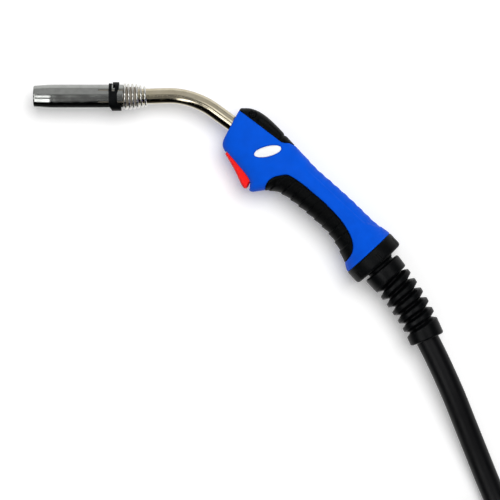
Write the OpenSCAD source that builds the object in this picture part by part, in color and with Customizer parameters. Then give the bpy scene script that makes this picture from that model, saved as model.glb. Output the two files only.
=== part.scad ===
// MIG welding torch lying on its right cheek: nozzle to the left, cable to the lower right.
// Millimetres, +Z up. The torch's plane of symmetry lies level, at the height of the cable nut's radius.

/* [Gas nozzle] */
// Length of the gas nozzle
nozzle_len = 81; // [70:1:95]
// Outside diameter of the gas nozzle
nozzle_d = 21.6; // [20:0.1:24]
// Wall of the gas nozzle
nozzle_wall = 1.3; // [1:0.1:1.6]
// Outside diameter at the mouth of the nozzle
mouth_d = 19; // [17:0.1:20]
// Length of the taper behind the mouth
taper_len = 15; // [8:1:20]
// Number of slots in the rear of the nozzle
slot_count = 6; // [4:1:8]
// Length of those slots
slot_len = 22.5; // [15:0.5:28]
// Width of those slots
slot_w = 1.4; // [0.8:0.1:2]
// Width of the clip ring round the slots
clip_w = 8; // [6:0.5:10]
// Thickness of the clip ring
clip_t = 2.1; // [1.5:0.1:3]

/* [Nozzle spring] */
// Diameter of the spring's wire
wire_d = 2; // [1.4:0.1:2.2]
// Pitch of the spring
spring_pitch = 3.5; // [3:0.1:4]
// Turns of the spring
spring_turns = 6; // [5:1:7]
// Outside diameter of the spring's front turns
spring_d = 23.8; // [23:0.1:26]

/* [Wear parts] */
// Diameter of the contact tip
tip_d = 8; // [6:0.5:9]
// Length of the contact tip
tip_len = 30; // [26:1:34]
// Diameter of the welding wire
weld_wire_d = 1.2; // [0.8:0.1:1.6]
// How far the contact tip stays behind the mouth
tip_recess = 3; // [1:0.5:6]
// Diameter of the gas diffuser
diffuser_d = 16.4; // [15:0.1:16.8]
// Length of the gas diffuser
diffuser_len = 18; // [14:1:22]

/* [Neck] */
// Outside diameter of the neck
neck_d = 14; // [13:0.1:15]
// Wall of the neck's outer tube
neck_wall = 1.2; // [0.8:0.1:1.5]
// Outside diameter of the current-carrying inner tube
core_d = 9; // [8:0.1:9.6]
// Outside diameter of the wire liner
liner_d = 4.6; // [4:0.1:5]
// Straight length of the neck behind the spring
neck_front = 21.5; // [15:0.5:35]
// Radius of the neck's bend
neck_r = 66; // [60:1:80]
// Angle of the neck's bend
neck_angle = 36; // [30:1:50]
// Straight length of the neck between the bend and the handle
neck_back = 20; // [12:0.5:30]

/* [Handle] */
// Length of the handle in front of the cable nut
handle_len = 174; // [165:1:185]
// Height of the back over the nut's axis at the switch
back_h = 16.5; // [16:0.1:18]
// Depth of the switch housing below the nut's axis
belly_h = 34; // [33.5:0.1:35]
// Depth of the grip below the nut's axis at the waist
waist_h = 14.4; // [14:0.1:16]
// Thickness of the grip
grip_w = 34; // [33:0.5:37]
// Wall of the shells
shell_wall = 2.8; // [2.4:0.1:3.2]
// Thickness of the grip pads where they are let into the shells
pad_t = 1.4; // [1:0.1:1.6]
// Pitch of the pads' ribs
rib_pitch = 9.2; // [8:0.1:11]
// Height of the pads' ribs
rib_h = 1.3; // [0.8:0.1:1.6]
// Tilt of the handle in the resting plane
handle_tilt = 47.3; // [40:0.1:55]
// Slope of the front face
face_slope = 19; // [14:1:24]

/* [Trigger] */
// Length of the trigger
trigger_len = 36; // [33:0.5:37]
// Width of the trigger
trigger_w = 14; // [12:0.5:15]
// How far the rear end stands proud of the housing
trigger_proud = 9.2; // [7:0.1:11]
// Swing of the trigger in degrees
trigger_swing = 5; // [3:0.5:6]
// Diameter of the trigger's pin
pin_d = 3; // [2.5:0.1:3.5]

/* [Cable joint] */
// Diameter of the cable nut
nut_d = 51.8; // [50:0.1:54]
// Length of the cable nut
nut_len = 14; // [13:0.5:16]
// Diameter of the swivel ball
ball_d = 37; // [36:0.1:38]
// Tilt of the swivel at rest in degrees
swivel_rest = 3; // [0:1:6]
// Length of the bend guard
guard_len = 77; // [70:1:90]
// Diameter of the guard's front collar
guard_d = 37; // [36:0.1:39]
// Diameter of the guard's rear end
guard_end_d = 30.5; // [28:0.1:33]
// Pitch of the guard's helical rib
guard_pitch = 9.5; // [9:0.1:10.5]
// Bend of the guard in degrees
guard_bend = 17; // [5:1:22]

/* [Cable] */
// Diameter of the cable
cable_d = 21; // [18:0.1:21.4]
// Height of one layer of the coil over the next
coil_step = 21.8; // [21.6:0.1:23]

/* [Connector] */
// Diameter of the hand nut
hand_nut_d = 52; // [48:0.5:56]
// Length of the hand nut
hand_nut_len = 36; // [30:1:42]
// Diameter of the central contact pin
plug_d = 11.8; // [11:0.1:13]
// Length of the central contact pin in front of the plug's face
plug_len = 30; // [26:1:36]
// Length of the connector's bend guard
tail_guard_len = 52; // [44:1:60]

/* [Hidden] */
$fn = 48;

gap = 0.3;          // between pieces that move past each other
lap = 0.5;          // a straight length of tube reaches this far into its bend,
thin = 0.985;       // and the bend is this share of its thickness
fit = 0.1;          // between pieces that are pushed together
lots = 400;         // beyond everything

function mix(a, b, t) = a + (b - a) * t;
function unit(v) = v / norm(v);
function smooth(t) = t <= 0 ? 0 : t >= 1 ? 1 : t * t * (3 - 2 * t);

// ---- tubes swept along points -------------------------------------------

function heading(path, i) =
    unit(path[min(i + 1, len(path) - 1)] - path[max(i - 1, 0)]);

// Rings of n points round each point of the path; the first point is turned by `from` off the level.
function tube_rings(path, r, n, from = 0, up = [0, 0, 1]) = [
    for (i = [0:len(path) - 1])
        let (t = heading(path, i), s = unit(cross(up, t)), w = cross(t, s))
        [for (k = [0:n - 1]) let (a = from + 360 * k / n) path[i] + r * (cos(a) * s + sin(a) * w)]
];

// Rings of equal length joined into one closed skin of triangles.
module skin(rings) {
    n = len(rings[0]);
    m = len(rings);
    polyhedron(
        points = [for (ring = rings) each ring],
        faces = concat(
            [for (i = [0:m - 2], k = [0:n - 1]) [i * n + k, (i + 1) * n + k, i * n + (k + 1) % n]],
            [for (i = [0:m - 2], k = [0:n - 1])
                [i * n + (k + 1) % n, (i + 1) * n + k, (i + 1) * n + (k + 1) % n]],
            [for (k = [1:n - 2]) [0, k, k + 1]],
            [for (k = [1:n - 2]) [(m - 1) * n, (m - 1) * n + k + 1, (m - 1) * n + k]]
        )
    );
}

// The least space between turns of a tube: its own neighbours within `near` points don't count.
function least_gap(path, d, near) = min([
    for (i = [0:len(path) - 1 - near], j = [i + near:len(path) - 1]) norm(path[i] - path[j])
]) - d;

// ---- places ---------------------------------------------------------------
// The handle's axes: u runs along the nut's axis towards the cable, v towards the back.
// The nose's axes: x runs forwards along the nozzle from where the neck starts to bend.

function turned(u, v, a) = [u * cos(a) + v * sin(a), v * cos(a) - u * sin(a)];

face_u = -handle_len + 0.8;         // the front face meets the cap here
face_v = 1.5;
neck_v = -11.6;                     // the neck's axis where it crosses the front face
neck_u = face_u + (face_v - neck_v) * tan(face_slope);
neck_rise = handle_tilt - neck_angle;   // slope of the neck inside the handle
neck_in = 24;                       // the outer tube's length inside the handle
core_in = 34;                       // the inner tube's length inside the handle

bend_end = turned(neck_u, neck_v, handle_tilt) + neck_back * [-cos(neck_angle), sin(neck_angle)];
nose_at = bend_end + neck_r * [-sin(neck_angle), 1 - cos(neck_angle)];

spring_len = spring_turns * spring_pitch;
nozzle_x = neck_front + spring_len + gap;
mouth_x = nozzle_x + nozzle_len;
seat_x = neck_front + 8;
seat_end = nozzle_x + 24;
diffuser_x = seat_end + fit;
diffuser_end = diffuser_x + diffuser_len;
tip_end = mouth_x - tip_recess;
tip_x = tip_end - tip_len;
nozzle_bore = nozzle_d - 2 * nozzle_wall;
seat_d = nozzle_bore - 2 * fit;
holder_d = 10.8;
clip_r = nozzle_d / 2 + fit + clip_t;

ball_u = 3;                         // the swivel's centre on the nut's axis
neck_gap = 3.6;                     // open space between the nut and the bend guard
guard_x = nut_len + neck_gap - ball_u;  // the guard's front face from the swivel's centre
collar_len = 12.9;
swivel_at = turned(ball_u, 0, handle_tilt);
guard_r = (guard_len - collar_len) / (guard_bend * PI / 180);
guard_heading = -handle_tilt - swivel_rest;
exit_heading = guard_heading + guard_bend * -1;

// The guard's centre line in its own axes: straight through the collar, then an arc.
function guard_point(s) =
    let (b = max(0, s - collar_len) / guard_r * 180 / PI)
    [guard_x + min(s, collar_len) + guard_r * sin(b), -guard_r * (1 - cos(b)), 0];
function guard_angle(s) = -max(0, s - collar_len) / guard_r * 180 / PI;
function flat(p) = [p[0], p[1]];
function guard_out(s) = swivel_at + flat(turned(guard_point(s)[0], guard_point(s)[1], -guard_heading));

exit_at = guard_out(guard_len);
left_x = nose_at[0] - mouth_x;
right_x = exit_at[0] + guard_end_d / 2 * sin(-exit_heading);
top_y = nose_at[1] + clip_r;
low_y = exit_at[1] - guard_end_d / 2 * cos(exit_heading);
middle = [(left_x + right_x) / 2, (top_y + low_y) / 2];
rest_z = nut_d / 2;

module lie() translate([-middle[0], -middle[1], rest_z]) children();
module handle() lie() rotate([0, 0, -handle_tilt]) children();
module nose() lie() translate([nose_at[0], nose_at[1], 0]) rotate([0, 0, 180]) children();
module swivel() lie() translate([swivel_at[0], swivel_at[1], 0]) rotate([0, 0, guard_heading]) children();
module along() rotate([0, 90, 0]) children();   // a cylinder's axis to +X
module into_handle() translate([neck_u, neck_v, 0]) rotate([0, 0, neck_rise]) children();

// ---- gas nozzle and wear parts ----------------------------------------------

module gas_nozzle() {
    mouth_wall = 1.1;
    taper_x = mouth_x - taper_len;
    color("silver") nose() difference() {
        along() rotate_extrude($fn = 64) polygon([
            [nozzle_bore / 2, nozzle_x],
            [nozzle_d / 2 - 0.3, nozzle_x],
            [nozzle_d / 2, nozzle_x + 0.3],
            [nozzle_d / 2, taper_x],
            [mouth_d / 2 + 0.5, mouth_x - 1.2],
            [mouth_d / 2, mouth_x - 0.4],
            [mouth_d / 2 - 0.4, mouth_x],
            [mouth_d / 2 - mouth_wall, mouth_x],
            [nozzle_bore / 2, taper_x]
        ]);
        for (k = [0:slot_count - 1]) rotate([(k + 0.5) * 360 / slot_count, 0, 0])
            translate([nozzle_x - 1, -slot_w / 2, 0]) cube([slot_len + 1, slot_w, nozzle_d]);
    }
}

// An open ring that clamps the slotted end, wider on one side, with a window and a tongue over its edge.
module nozzle_clip() {
    inner = nozzle_d / 2 + fit;
    rear = nozzle_x + 5;
    module ring(from, width) translate([from, 0, 0]) along() cylinder(h = width, r = clip_r, $fn = 64);
    color([0.05, 0.05, 0.06]) nose() difference() {
        union() {
            ring(rear, clip_w);
            intersection() {
                ring(rear - 3.2, clip_w);
                translate([rear - 4, 2, -lots / 2]) cube([clip_w, lots, lots]);
            }
            intersection() {
                ring(rear - 1.8, clip_w);
                translate([rear - 4, -lots - 0.8 * clip_r, -lots / 2]) cube([clip_w, lots, lots]);
            }
        }
        translate([rear - 5, 0, 0]) along() cylinder(h = clip_w + 10, r = inner, $fn = 64);
        translate([rear + 2.4, -9.7, 0]) cube([3, 4.8, lots]);
        translate([rear - 5, -1.5, -lots]) cube([clip_w + 10, 3, lots]);
    }
}

// A coil spring whose rear turns close in on the neck.
spring_front_r = (spring_d - wire_d) / 2;
spring_rear_r = ((neck_d + wire_d) / 2 + fit) / cos(22.5);
spring_path = [
    for (k = [0:spring_turns * 8])
        let (
            a = 45 * k,
            x = wire_d / 2 + (spring_len - wire_d) * k / (spring_turns * 8),
            r = mix(spring_rear_r, spring_front_r, smooth(k / 17))
        )
        [neck_front + x, r * cos(a), r * sin(a)]
];
echo(spring_gap = least_gap(spring_path, wire_d, 5));

module nozzle_spring() {
    color("silver") nose() skin(tube_rings(spring_path, wire_d / 2, 6, up = [1, 0, 0]));
}

module contact_tip() {
    thread_d = tip_d - 2;
    color([0.72, 0.45, 0.28]) nose() along() rotate_extrude() polygon([
        [weld_wire_d / 2, tip_x - 6],
        [thread_d / 2, tip_x - 6],
        [thread_d / 2, tip_x],
        [tip_d / 2, tip_x],
        [tip_d / 2, tip_end - 8],
        [tip_d / 2 - 1.2, tip_end - 1],
        [tip_d / 2 - 2, tip_end],
        [weld_wire_d / 2, tip_end]
    ]);
}

module tip_holder() {
    color([0.78, 0.62, 0.3]) nose() difference() {
        union() {
            translate([seat_end - 8, 0, 0]) along() cylinder(h = tip_x - fit - seat_end + 8, d = holder_d);
            translate([diffuser_end + fit, 0, 0]) along()
                cylinder(h = tip_x - diffuser_end - 2 * fit, d = holder_d + 2.4, $fn = 6);
        }
        translate([seat_end - 9, 0, 0]) along() cylinder(h = lots, d = liner_d + 2 * fit);
        translate([tip_x - 6.4, 0, 0]) along() cylinder(h = lots, d = tip_d - 2 + 2 * fit);
    }
}

module gas_diffuser() {
    color([0.9, 0.88, 0.8]) nose() difference() {
        translate([diffuser_x, 0, 0]) along() cylinder(h = diffuser_len, d = diffuser_d);
        translate([diffuser_x - 1, 0, 0]) along() cylinder(h = lots, d = holder_d + 2 * fit);
        translate([diffuser_x + 4, 0, 0]) along() difference() {
            cylinder(h = 6, d = diffuser_d + 2);
            translate([0, 0, -1]) cylinder(h = 8, d = diffuser_d - 2);
        }
        for (k = [0:7]) translate([diffuser_x + 7, 0, 0]) rotate([45 * k + 22.5, 0, 0])
            cylinder(h = diffuser_d, d = 1.8, $fn = 16);
    }
}

// The insulating seat that the nozzle is pushed on to, with a shoulder inside the spring.
module nozzle_seat() {
    flange_d = 2 * (spring_front_r * cos(22.5) - wire_d / 2 - gap);
    color([0.12, 0.11, 0.1]) nose() difference() {
        union() {
            translate([seat_x, 0, 0]) along() cylinder(h = nozzle_x - gap - seat_x, d = flange_d);
            translate([nozzle_x - 1, 0, 0]) along() cylinder(h = seat_end - nozzle_x + 1, d = seat_d);
        }
        translate([seat_x - 1, 0, 0]) along() cylinder(h = 7 + fit, d = neck_d + 2 * fit);
        translate([seat_x, 0, 0]) along() cylinder(h = lots, d = core_d + 2 * fit);
        translate([seat_end - 8 - fit, 0, 0]) along() cylinder(h = lots, d = holder_d + 2 * fit);
    }
}

// ---- neck --------------------------------------------------------------------

// A round tube on the neck's centre line, from `front` before the bend to `back` inside the handle.
module neck_pipe(d, bore, front, back) {
    module wall(share) difference() {
        circle(d = d * share);
        circle(d = bore / share);
    }
    union() {
        translate([-lap, 0, 0]) along() linear_extrude(front + lap) wall(1);
        translate([0, neck_r, 0]) rotate([0, 0, -90 - neck_angle])
            rotate_extrude(angle = neck_angle, $fn = 96) translate([neck_r, 0]) wall(thin);
        translate([-neck_r * sin(neck_angle), neck_r * (1 - cos(neck_angle)), 0]) rotate([0, 0, 180 - neck_angle])
            translate([-lap, 0, 0]) along() linear_extrude(neck_back + back + lap) wall(1);
    }
}

module neck_tube() {
    color([0.75, 0.72, 0.66]) nose()
        neck_pipe(neck_d, neck_d - 2 * neck_wall, seat_x + 6, neck_in);
}

module neck_insulation() {
    color([0.9, 0.9, 0.85]) nose()
        neck_pipe(neck_d - 2 * neck_wall - 2 * fit, core_d + 2 * fit, seat_x + 5.8, neck_in - 1);
}

module neck_core() {
    color([0.72, 0.45, 0.28]) nose()
        neck_pipe(core_d, liner_d + 4 * fit, seat_end - 8 - 2 * fit, core_in);
}

module wire_liner() {
    color([0.6, 0.6, 0.62]) nose()
        neck_pipe(liner_d, weld_wire_d + 0.6, tip_x - 8, core_in + 14);
}

// ---- handle shells -------------------------------------------------------------
// Each row: share of the handle's length, height of the back, depth of the belly, half thickness, squareness.

half_w = grip_w / 2;
rear_r = nut_d / 2 - 0.3;
outline = [
    [-0.017, back_h - 17.0, belly_h - 10.0, half_w - 4.6, 2.7],
    [0.006, back_h - 12.3, belly_h - 8.0, half_w - 3.6, 2.8],
    [0.034, back_h - 7.3, belly_h - 6.5, half_w - 2.6, 2.8],
    [0.063, back_h - 4.3, belly_h - 4.7, half_w - 1.8, 2.9],
    [0.092, back_h - 2.4, belly_h - 1.5, half_w - 1.3, 3],
    [0.138, back_h - 0.8, belly_h - 0.4, half_w - 0.8, 3],
    [0.207, back_h, belly_h, half_w - 0.5, 3],
    [0.282, back_h, belly_h + 0.9, half_w - 0.3, 3],
    [0.316, back_h, belly_h + 2.8, half_w - 0.2, 2.9],
    [0.336, back_h, belly_h + 6.4, half_w - 0.2, 2.8],
    [0.359, back_h, belly_h + 6.2, half_w - 0.2, 2.7],
    [0.397, back_h, mix(belly_h, waist_h, 0.14), half_w - 0.1, 2.6],
    [0.437, back_h + 0.3, mix(belly_h, waist_h, 0.5), half_w, 2.5],
    [0.489, back_h + 0.7, mix(belly_h, waist_h, 0.71), half_w, 2.4],
    [0.586, mix(back_h, rear_r, 0.3), waist_h + 2.6, half_w, 2.4],
    [0.713, mix(back_h, rear_r, 0.54), waist_h + 0.2, half_w, 2.3],
    [0.793, mix(back_h, rear_r, 0.64), waist_h - 0.2, half_w + 0.4, 2.3],
    [0.874, mix(back_h, rear_r, 0.72), mix(waist_h, rear_r, 0.2), half_w + 1.8, 2.2],
    [0.948, mix(back_h, rear_r, 0.84), mix(waist_h, rear_r, 0.64), half_w + 4.6, 2.1],
    [0.983, mix(back_h, rear_r, 0.97), mix(waist_h, rear_r, 0.93), rear_r - 1.2, 2],
    [1, rear_r, rear_r, rear_r, 2]
];

function curve(a, b, c, d, t) =
    0.5 * (2 * b + (c - a) * t + (2 * a - 5 * b + 4 * c - d) * t * t + (3 * b - a - 3 * c + d) * t * t * t);
outline_end = len(outline) - 1;
stations = [
    for (i = [0:outline_end - 1], t = [0, 0.5])
        curve(outline[max(i - 1, 0)], outline[i], outline[i + 1], outline[min(i + 2, outline_end)], t),
    outline[outline_end]
];
function at(share) = -handle_len * (1 - share);
function share_at(u) = 1 + u / handle_len;
function column(k) = [for (s = stations) [s[0], s[k]]];
columns = [for (k = [0:4]) column(k)];
function station(u) = let (s = share_at(u))
    [s, lookup(s, columns[1]), lookup(s, columns[2]), lookup(s, columns[3]), lookup(s, columns[4])];

ring_sides = 24;
function power(x, e) = sign(x) * pow(abs(x), e);
// The cross-section at a station, grown outwards.
function section(s, grow) =
    let (
        top = s[1] + grow,
        low = -s[2] - grow,
        w = s[3] + grow,
        mid = (top + low) / 2,
        h = (top - low) / 2
    )
    [for (k = [0:ring_sides - 1])
        let (a = 360 * k / ring_sides)
        [at(s[0]), mid + h * power(sin(a), 2 / s[4]), w * power(cos(a), 2 / s[4])]];

// The solid between two rings of points.
module slab(ring_a, ring_b) hull()
    polyhedron(points = concat(ring_a, ring_b), faces = [[for (k = [0:2 * ring_sides - 1]) k]]);

// The handle's form, grown outwards, between two stations of the outline. Inner faces take every other one.
module form(grow, from = 0, to = len(stations) - 1, step = 2)
    for (i = [from:step:to - step]) slab(section(stations[i], grow), section(stations[i + step], grow));

module behind_face(inset)
    translate([face_u, face_v, 0]) rotate([0, 0, face_slope])
        translate([inset, -lots / 2, -lots / 2]) cube(lots);

module side(s) translate([-lots, -lots / 2, s > 0 ? 0 : -lots]) cube([2 * lots, lots, lots]);

socket_r = ball_d / 2 + gap;
spigot_r = nut_d / 2 - 4.3;
spigot_len = 6;
socket_u = -17;                     // the wall in front of the ball's socket

// Region of the black cap: everything above this line at the front of the back.
cap_line = [
    [at(-0.05), -1], [at(0.134), 4.7], [at(0.246), 8.2], [at(0.274), 8.9], [at(0.289), 10.8],
    [at(0.306), 14], [at(0.332), 15.9], [at(0.35), 19], [at(0.35), 60], [at(-0.05), 60]
];
cap_t = 2.6;
cap_screw_at = [at(0.0695), 7.3];
screw_head_r = 3.1;
screw_r = 1.5;
boss_r = 4.4;                       // round the cap's screw, in the cap and between the shells
boss_z = 6;                         // where the cap's bosses meet the shells'

module cap_bosses(r) for (s = [-1, 1])
    translate([cap_screw_at[0], cap_screw_at[1], s > 0 ? boss_z : -boss_z - lots]) cylinder(h = lots, r = r);

// Region of a grip pad: the belly side of the grip, up to a line along its middle.
pad_line = [
    [at(0.401), -60], [at(0.401), -31.5], [at(0.382), -27.1], [at(0.375), -22.5], [at(0.38), -16.9],
    [at(0.398), -11.2], [at(0.414), -7.4], [at(0.441), -5], [at(0.51), -2.1], [at(0.582), -0.6],
    [at(0.649), 0.9], [at(0.716), 1.3], [at(0.775), 1.2], [at(0.832), -0.3], [at(0.882), -2.9],
    [at(0.92), -7], [at(0.944), -12.7], [at(0.954), -21.1], [at(0.954), -60]
];

trigger_u = at(0.1207);             // front of the trigger
pivot_at = [trigger_u + 3, -belly_h + 7];
slot_end = trigger_u + trigger_len + 1.8;

badge_at = [at(0.262), -5.5];
badge_size = [25, 9.5];
badge_floor = half_w - 2.4;
function oval(size, n) = [for (k = [0:39])
    [size[0] / 2 * power(cos(9 * k), 2 / n), size[1] / 2 * power(sin(9 * k), 2 / n)]];
module on_badge() translate([badge_at[0], badge_at[1], badge_floor]) rotate([0, 0, handle_tilt + 14]) children();

frame_w = trigger_w + 4.4;          // width of the switch frame

// The neck's and the cable's way through the handle.
cable_from = [neck_u, neck_v] + (core_in + 30) * [cos(neck_rise), sin(neck_rise)];
cable_bend = 110;
cable_fall = acos((-cable_from[1] / cable_bend + 1 + cos(neck_rise)) / 2);
cable_turn = cable_from + cable_bend * [sin(neck_rise) + sin(cable_fall), cos(cable_fall) - cos(neck_rise)];
cable_level = cable_turn[0] + cable_bend * sin(cable_fall);
cable_stop = ball_u - 11;

module cable_way(d) union() {
    translate([cable_from[0], cable_from[1], 0]) rotate([0, 0, neck_rise]) translate([0, -cable_bend, 0])
        rotate([0, 0, 90 - neck_rise - cable_fall])
            rotate_extrude(angle = neck_rise + cable_fall, $fn = 96) translate([cable_bend, 0])
            circle(d = d * thin);
    translate([cable_turn[0], cable_turn[1], 0]) rotate([0, 0, -cable_fall])
        translate([-lap, 0, 0]) along() cylinder(h = 2 * lap, d = d);
    translate([cable_turn[0], cable_turn[1], 0]) rotate([0, 0, -cable_fall]) translate([0, cable_bend, 0])
        rotate([0, 0, -90]) rotate_extrude(angle = cable_fall, $fn = 96) translate([cable_bend, 0])
            circle(d = d * thin);
    translate([cable_level - lap, 0, 0]) along() cylinder(h = cable_stop - cable_level + lap, d = d);
}

// Height of the cable's centre over the nut's axis.
function cable_height(u) =
    u > cable_level ? 0 :
    u > cable_turn[0] ? cable_bend - sqrt(pow(cable_bend, 2) - pow(cable_level - u, 2)) :
    cable_turn[1] - cable_bend * cos(cable_fall)
        + sqrt(pow(cable_bend, 2) - pow(u - cable_turn[0] + cable_bend * sin(cable_fall), 2));

module shell(s) {
    rib_places = [at(0.0695), at(0.45), at(0.62), at(0.83)];
    color([0.03, 0.3, 0.82]) handle() intersection() {
        side(s);
        behind_face(0);
        difference() {
            union() {
                difference() {
                    form(0, step = 1);
                    intersection() {
                        form(-shell_wall);
                        behind_face(shell_wall);
                        translate([socket_u - lots, -lots / 2, -lots / 2]) cube(lots);
                    }
                    linear_extrude(2 * lots, center = true) polygon(cap_line);
                    difference() {
                        linear_extrude(2 * lots, center = true) polygon(pad_line);
                        form(-pad_t);
                    }
                }
                intersection() {
                    form(-cap_t - fit);
                    for (u = rib_places) translate([u - 1.3, -lots / 2, -lots / 2]) cube([2.6, lots, lots]);
                }
                intersection() {
                    form(-cap_t - fit);
                    translate([cap_screw_at[0], cap_screw_at[1], -boss_z]) cylinder(h = 2 * boss_z, r = boss_r);
                }
                intersection() {
                    form(-pad_t - fit, 26);
                    translate([socket_u, 0, 0]) along() cylinder(h = -socket_u, r = rear_r, $fn = 40);
                }
                translate([-1, 0, 0]) along() cylinder(h = spigot_len + 1, r = spigot_r, $fn = 40);
            }
            translate([ball_u, 0, 0]) sphere(r = socket_r, $fn = 28);
            translate([socket_u - 1, 0, 0]) along() cylinder(h = 10, r = 13, $fn = 28);
            into_handle() translate([-10, 0, 0]) along() cylinder(h = 60, d = neck_d + 2 * fit, $fn = 32);
            into_handle() translate([neck_in, 0, 0]) along() cylinder(h = 50, d = cable_d, $fn = 28);
            for (u = [at(0.45), at(0.62), at(0.83)]) translate([u - 3, cable_height(u), 0])
                along() cylinder(h = 6, d = cable_d + 1.6, $fn = 28);
            translate([cap_screw_at[0], cap_screw_at[1], -9]) cylinder(h = 18, r = screw_r + fit, $fn = 24);
            cap_bosses(boss_r + fit);
            translate([trigger_u - 0.5, -belly_h - 20, -trigger_w / 2 - gap])
                cube([slot_end - trigger_u + 0.5, 30, trigger_w + 2 * gap]);
            translate([trigger_u - 3.3, pivot_at[1] - 3.6, -frame_w / 2 - fit])
                cube([trigger_len + 1.6, 16, frame_w + 2 * fit]);
            if (s > 0) on_badge() linear_extrude(9) polygon(oval(badge_size + [1, 1], 2.2));
        }
    }
}

module left_shell() shell(1);
module right_shell() shell(-1);

// The cap that straddles both shells over the neck, held by one screw through its cheeks.
module top_cap() {
    color([0.09, 0.1, 0.1]) handle() intersection() {
        behind_face(0);
        difference() {
            union() {
                difference() {
                    form(0, 0, 22, 1);
                    form(-cap_t, 0, 22);
                }
                intersection() {
                    form(-0.1, 0, 22);
                    cap_bosses(boss_r);
                }
            }
            translate([cap_screw_at[0], cap_screw_at[1], 9.6]) cylinder(h = lots, r = screw_head_r + 0.3);
            translate([cap_screw_at[0], cap_screw_at[1], -9]) cylinder(h = lots, r = screw_r + fit, $fn = 24);
        }
        linear_extrude(2 * lots, center = true) offset(delta = -fit) polygon(cap_line);
    }
}

module cap_screw() {
    color("dimgray") handle() translate([cap_screw_at[0], cap_screw_at[1], 0]) difference() {
        union() {
            translate([0, 0, -8.8]) cylinder(h = 18.6, r = screw_r);
            translate([0, 0, 9.7]) cylinder(h = 2.1, r = screw_head_r);
        }
        translate([0, 0, 10.4]) cylinder(h = 3, r = 1.45, $fn = 6);
    }
}

// A grip pad: a thin skin let into the shell, raised in saw-tooth ribs across the grip.
module grip(s) {
    first = at(0.36);
    count = ceil((at(0.965) - first) / rib_pitch);
    color([0.07, 0.07, 0.07]) handle() intersection() {
        side(s);
        linear_extrude(2 * lots, center = true) offset(delta = -fit) polygon(pad_line);
        difference() {
            for (i = [0:count - 1]) let (u = first + i * rib_pitch)
                slab(section(station(u), rib_h), section(station(min(u + rib_pitch, -0.1)), 0));
            form(-pad_t + fit, 14);
        }
    }
}

module left_grip() grip(1);
module right_grip() grip(-1);

module badge() {
    color("white") handle() on_badge() translate([0, 0, 0.05]) linear_extrude(1.2)
        polygon(oval(badge_size, 2.2));
}

// ---- trigger and switch ----------------------------------------------------------

trigger_floor = -belly_h + 0.8;     // bottom of the pocket inside the trigger
switch_low = pivot_at[1] + 1;       // underside of the microswitch
switch_u = trigger_u + 10;
switch_len = 20;
switch_h = 9.6;
plunger_u = switch_u + 12;
plunger_d = 2.4;
plunger_out = 2.2;                  // how far the plunger stands out of the switch at rest
spring_u = switch_u + 17.4;
lead_from = [switch_u + switch_len + 0.1, switch_low + 6.6];    // where the leads leave the switch
lead_z = 2.2;
plunger_travel = (plunger_u - pivot_at[0]) * trigger_swing * PI / 180;
echo(plunger_travel = plunger_travel, pivot = pivot_at);

module trigger() {
    outer = [
        [0, 0.1], [0.19, 0.25], [0.39, 0.42], [0.56, 0.6], [0.7, 0.79], [0.82, 0.95], [0.88, 1],
        [0.94, 1.01], [0.98, 0.96], [1, 0.86], [0.995, 0.6], [0.965, 0.36]
    ];
    post_h = switch_low - plunger_out - gap - trigger_floor;
    color([0.95, 0.12, 0.1]) handle() difference() {
        union() {
            translate([0, 0, -trigger_w / 2]) linear_extrude(trigger_w) polygon(concat(
                [for (p = outer) [trigger_u + trigger_len * p[0], -belly_h - trigger_proud * p[1]]],
                [
                    [trigger_u + 0.95 * trigger_len, -belly_h + 1], [trigger_u + 0.9 * trigger_len, -belly_h + 3],
                    [trigger_u + 9, -belly_h + 3.4], [pivot_at[0], pivot_at[1]], [trigger_u, pivot_at[1]]
                ]
            ));
            translate([pivot_at[0], pivot_at[1], -trigger_w / 2]) cylinder(h = trigger_w, r = pin_d / 2 + 1.5);
        }
        translate([pivot_at[0], pivot_at[1], -trigger_w]) cylinder(h = 2 * trigger_w, d = pin_d + 0.1);
        difference() {
            translate([switch_u - 2, trigger_floor, 3.2 - trigger_w / 2])
                cube([switch_len + 3, 20, trigger_w - 6.4]);
            translate([plunger_u - 1.8, trigger_floor - 1, -1.8]) cube([3.6, post_h + 1, 3.6]);
        }
        translate([switch_u - 2, trigger_floor + 2.5, -trigger_w]) cube([3, 20, 2 * trigger_w]);
    }
}

module trigger_pin() {
    color("silver") handle() translate([pivot_at[0], pivot_at[1], -frame_w / 2])
        cylinder(h = frame_w, d = pin_d);
}

// Two cheeks and two cross bars that carry the pin and the microswitch between the shells.
module switch_frame() {
    cheek = (frame_w - trigger_w) / 2 - gap;
    top = switch_low + switch_h - 0.6;
    color([0.15, 0.15, 0.16]) handle() difference() {
        union() {
            for (z = [-frame_w / 2, frame_w / 2 - cheek]) {
                translate([trigger_u - 3, pivot_at[1] - 1.2, z]) cube([trigger_len + 1, top - pivot_at[1] + 1.2, cheek]);
                translate([pivot_at[0], pivot_at[1], z]) cylinder(h = cheek, r = 3.2);
            }
            translate([trigger_u + trigger_len - 4, switch_low, -frame_w / 2]) cube([2, switch_h - 0.6, frame_w]);
            for (u = [switch_u + 1, switch_u + switch_len - 4], z = [-frame_w / 2, 3.3])
                translate([u, switch_low + 3, z]) cube([3, 4.5, frame_w / 2 - 3.3]);
        }
        translate([pivot_at[0], pivot_at[1], -frame_w]) cylinder(h = 2 * frame_w, d = pin_d + 0.04);
        for (z = [-lead_z, lead_z]) translate([lead_from[0], lead_from[1] + 0.15, z]) along() cylinder(h = 9, r = 1.3);
    }
}

module switch_body() {
    color([0.2, 0.2, 0.22]) handle() difference() {
        translate([switch_u, switch_low, -3.2]) cube([switch_len, switch_h, 6.4]);
        translate([plunger_u, switch_low - 1, 0]) rotate([-90, 0, 0])
            cylinder(h = 2.4 + plunger_travel + 1, d = plunger_d + 0.2);
    }
}

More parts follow.
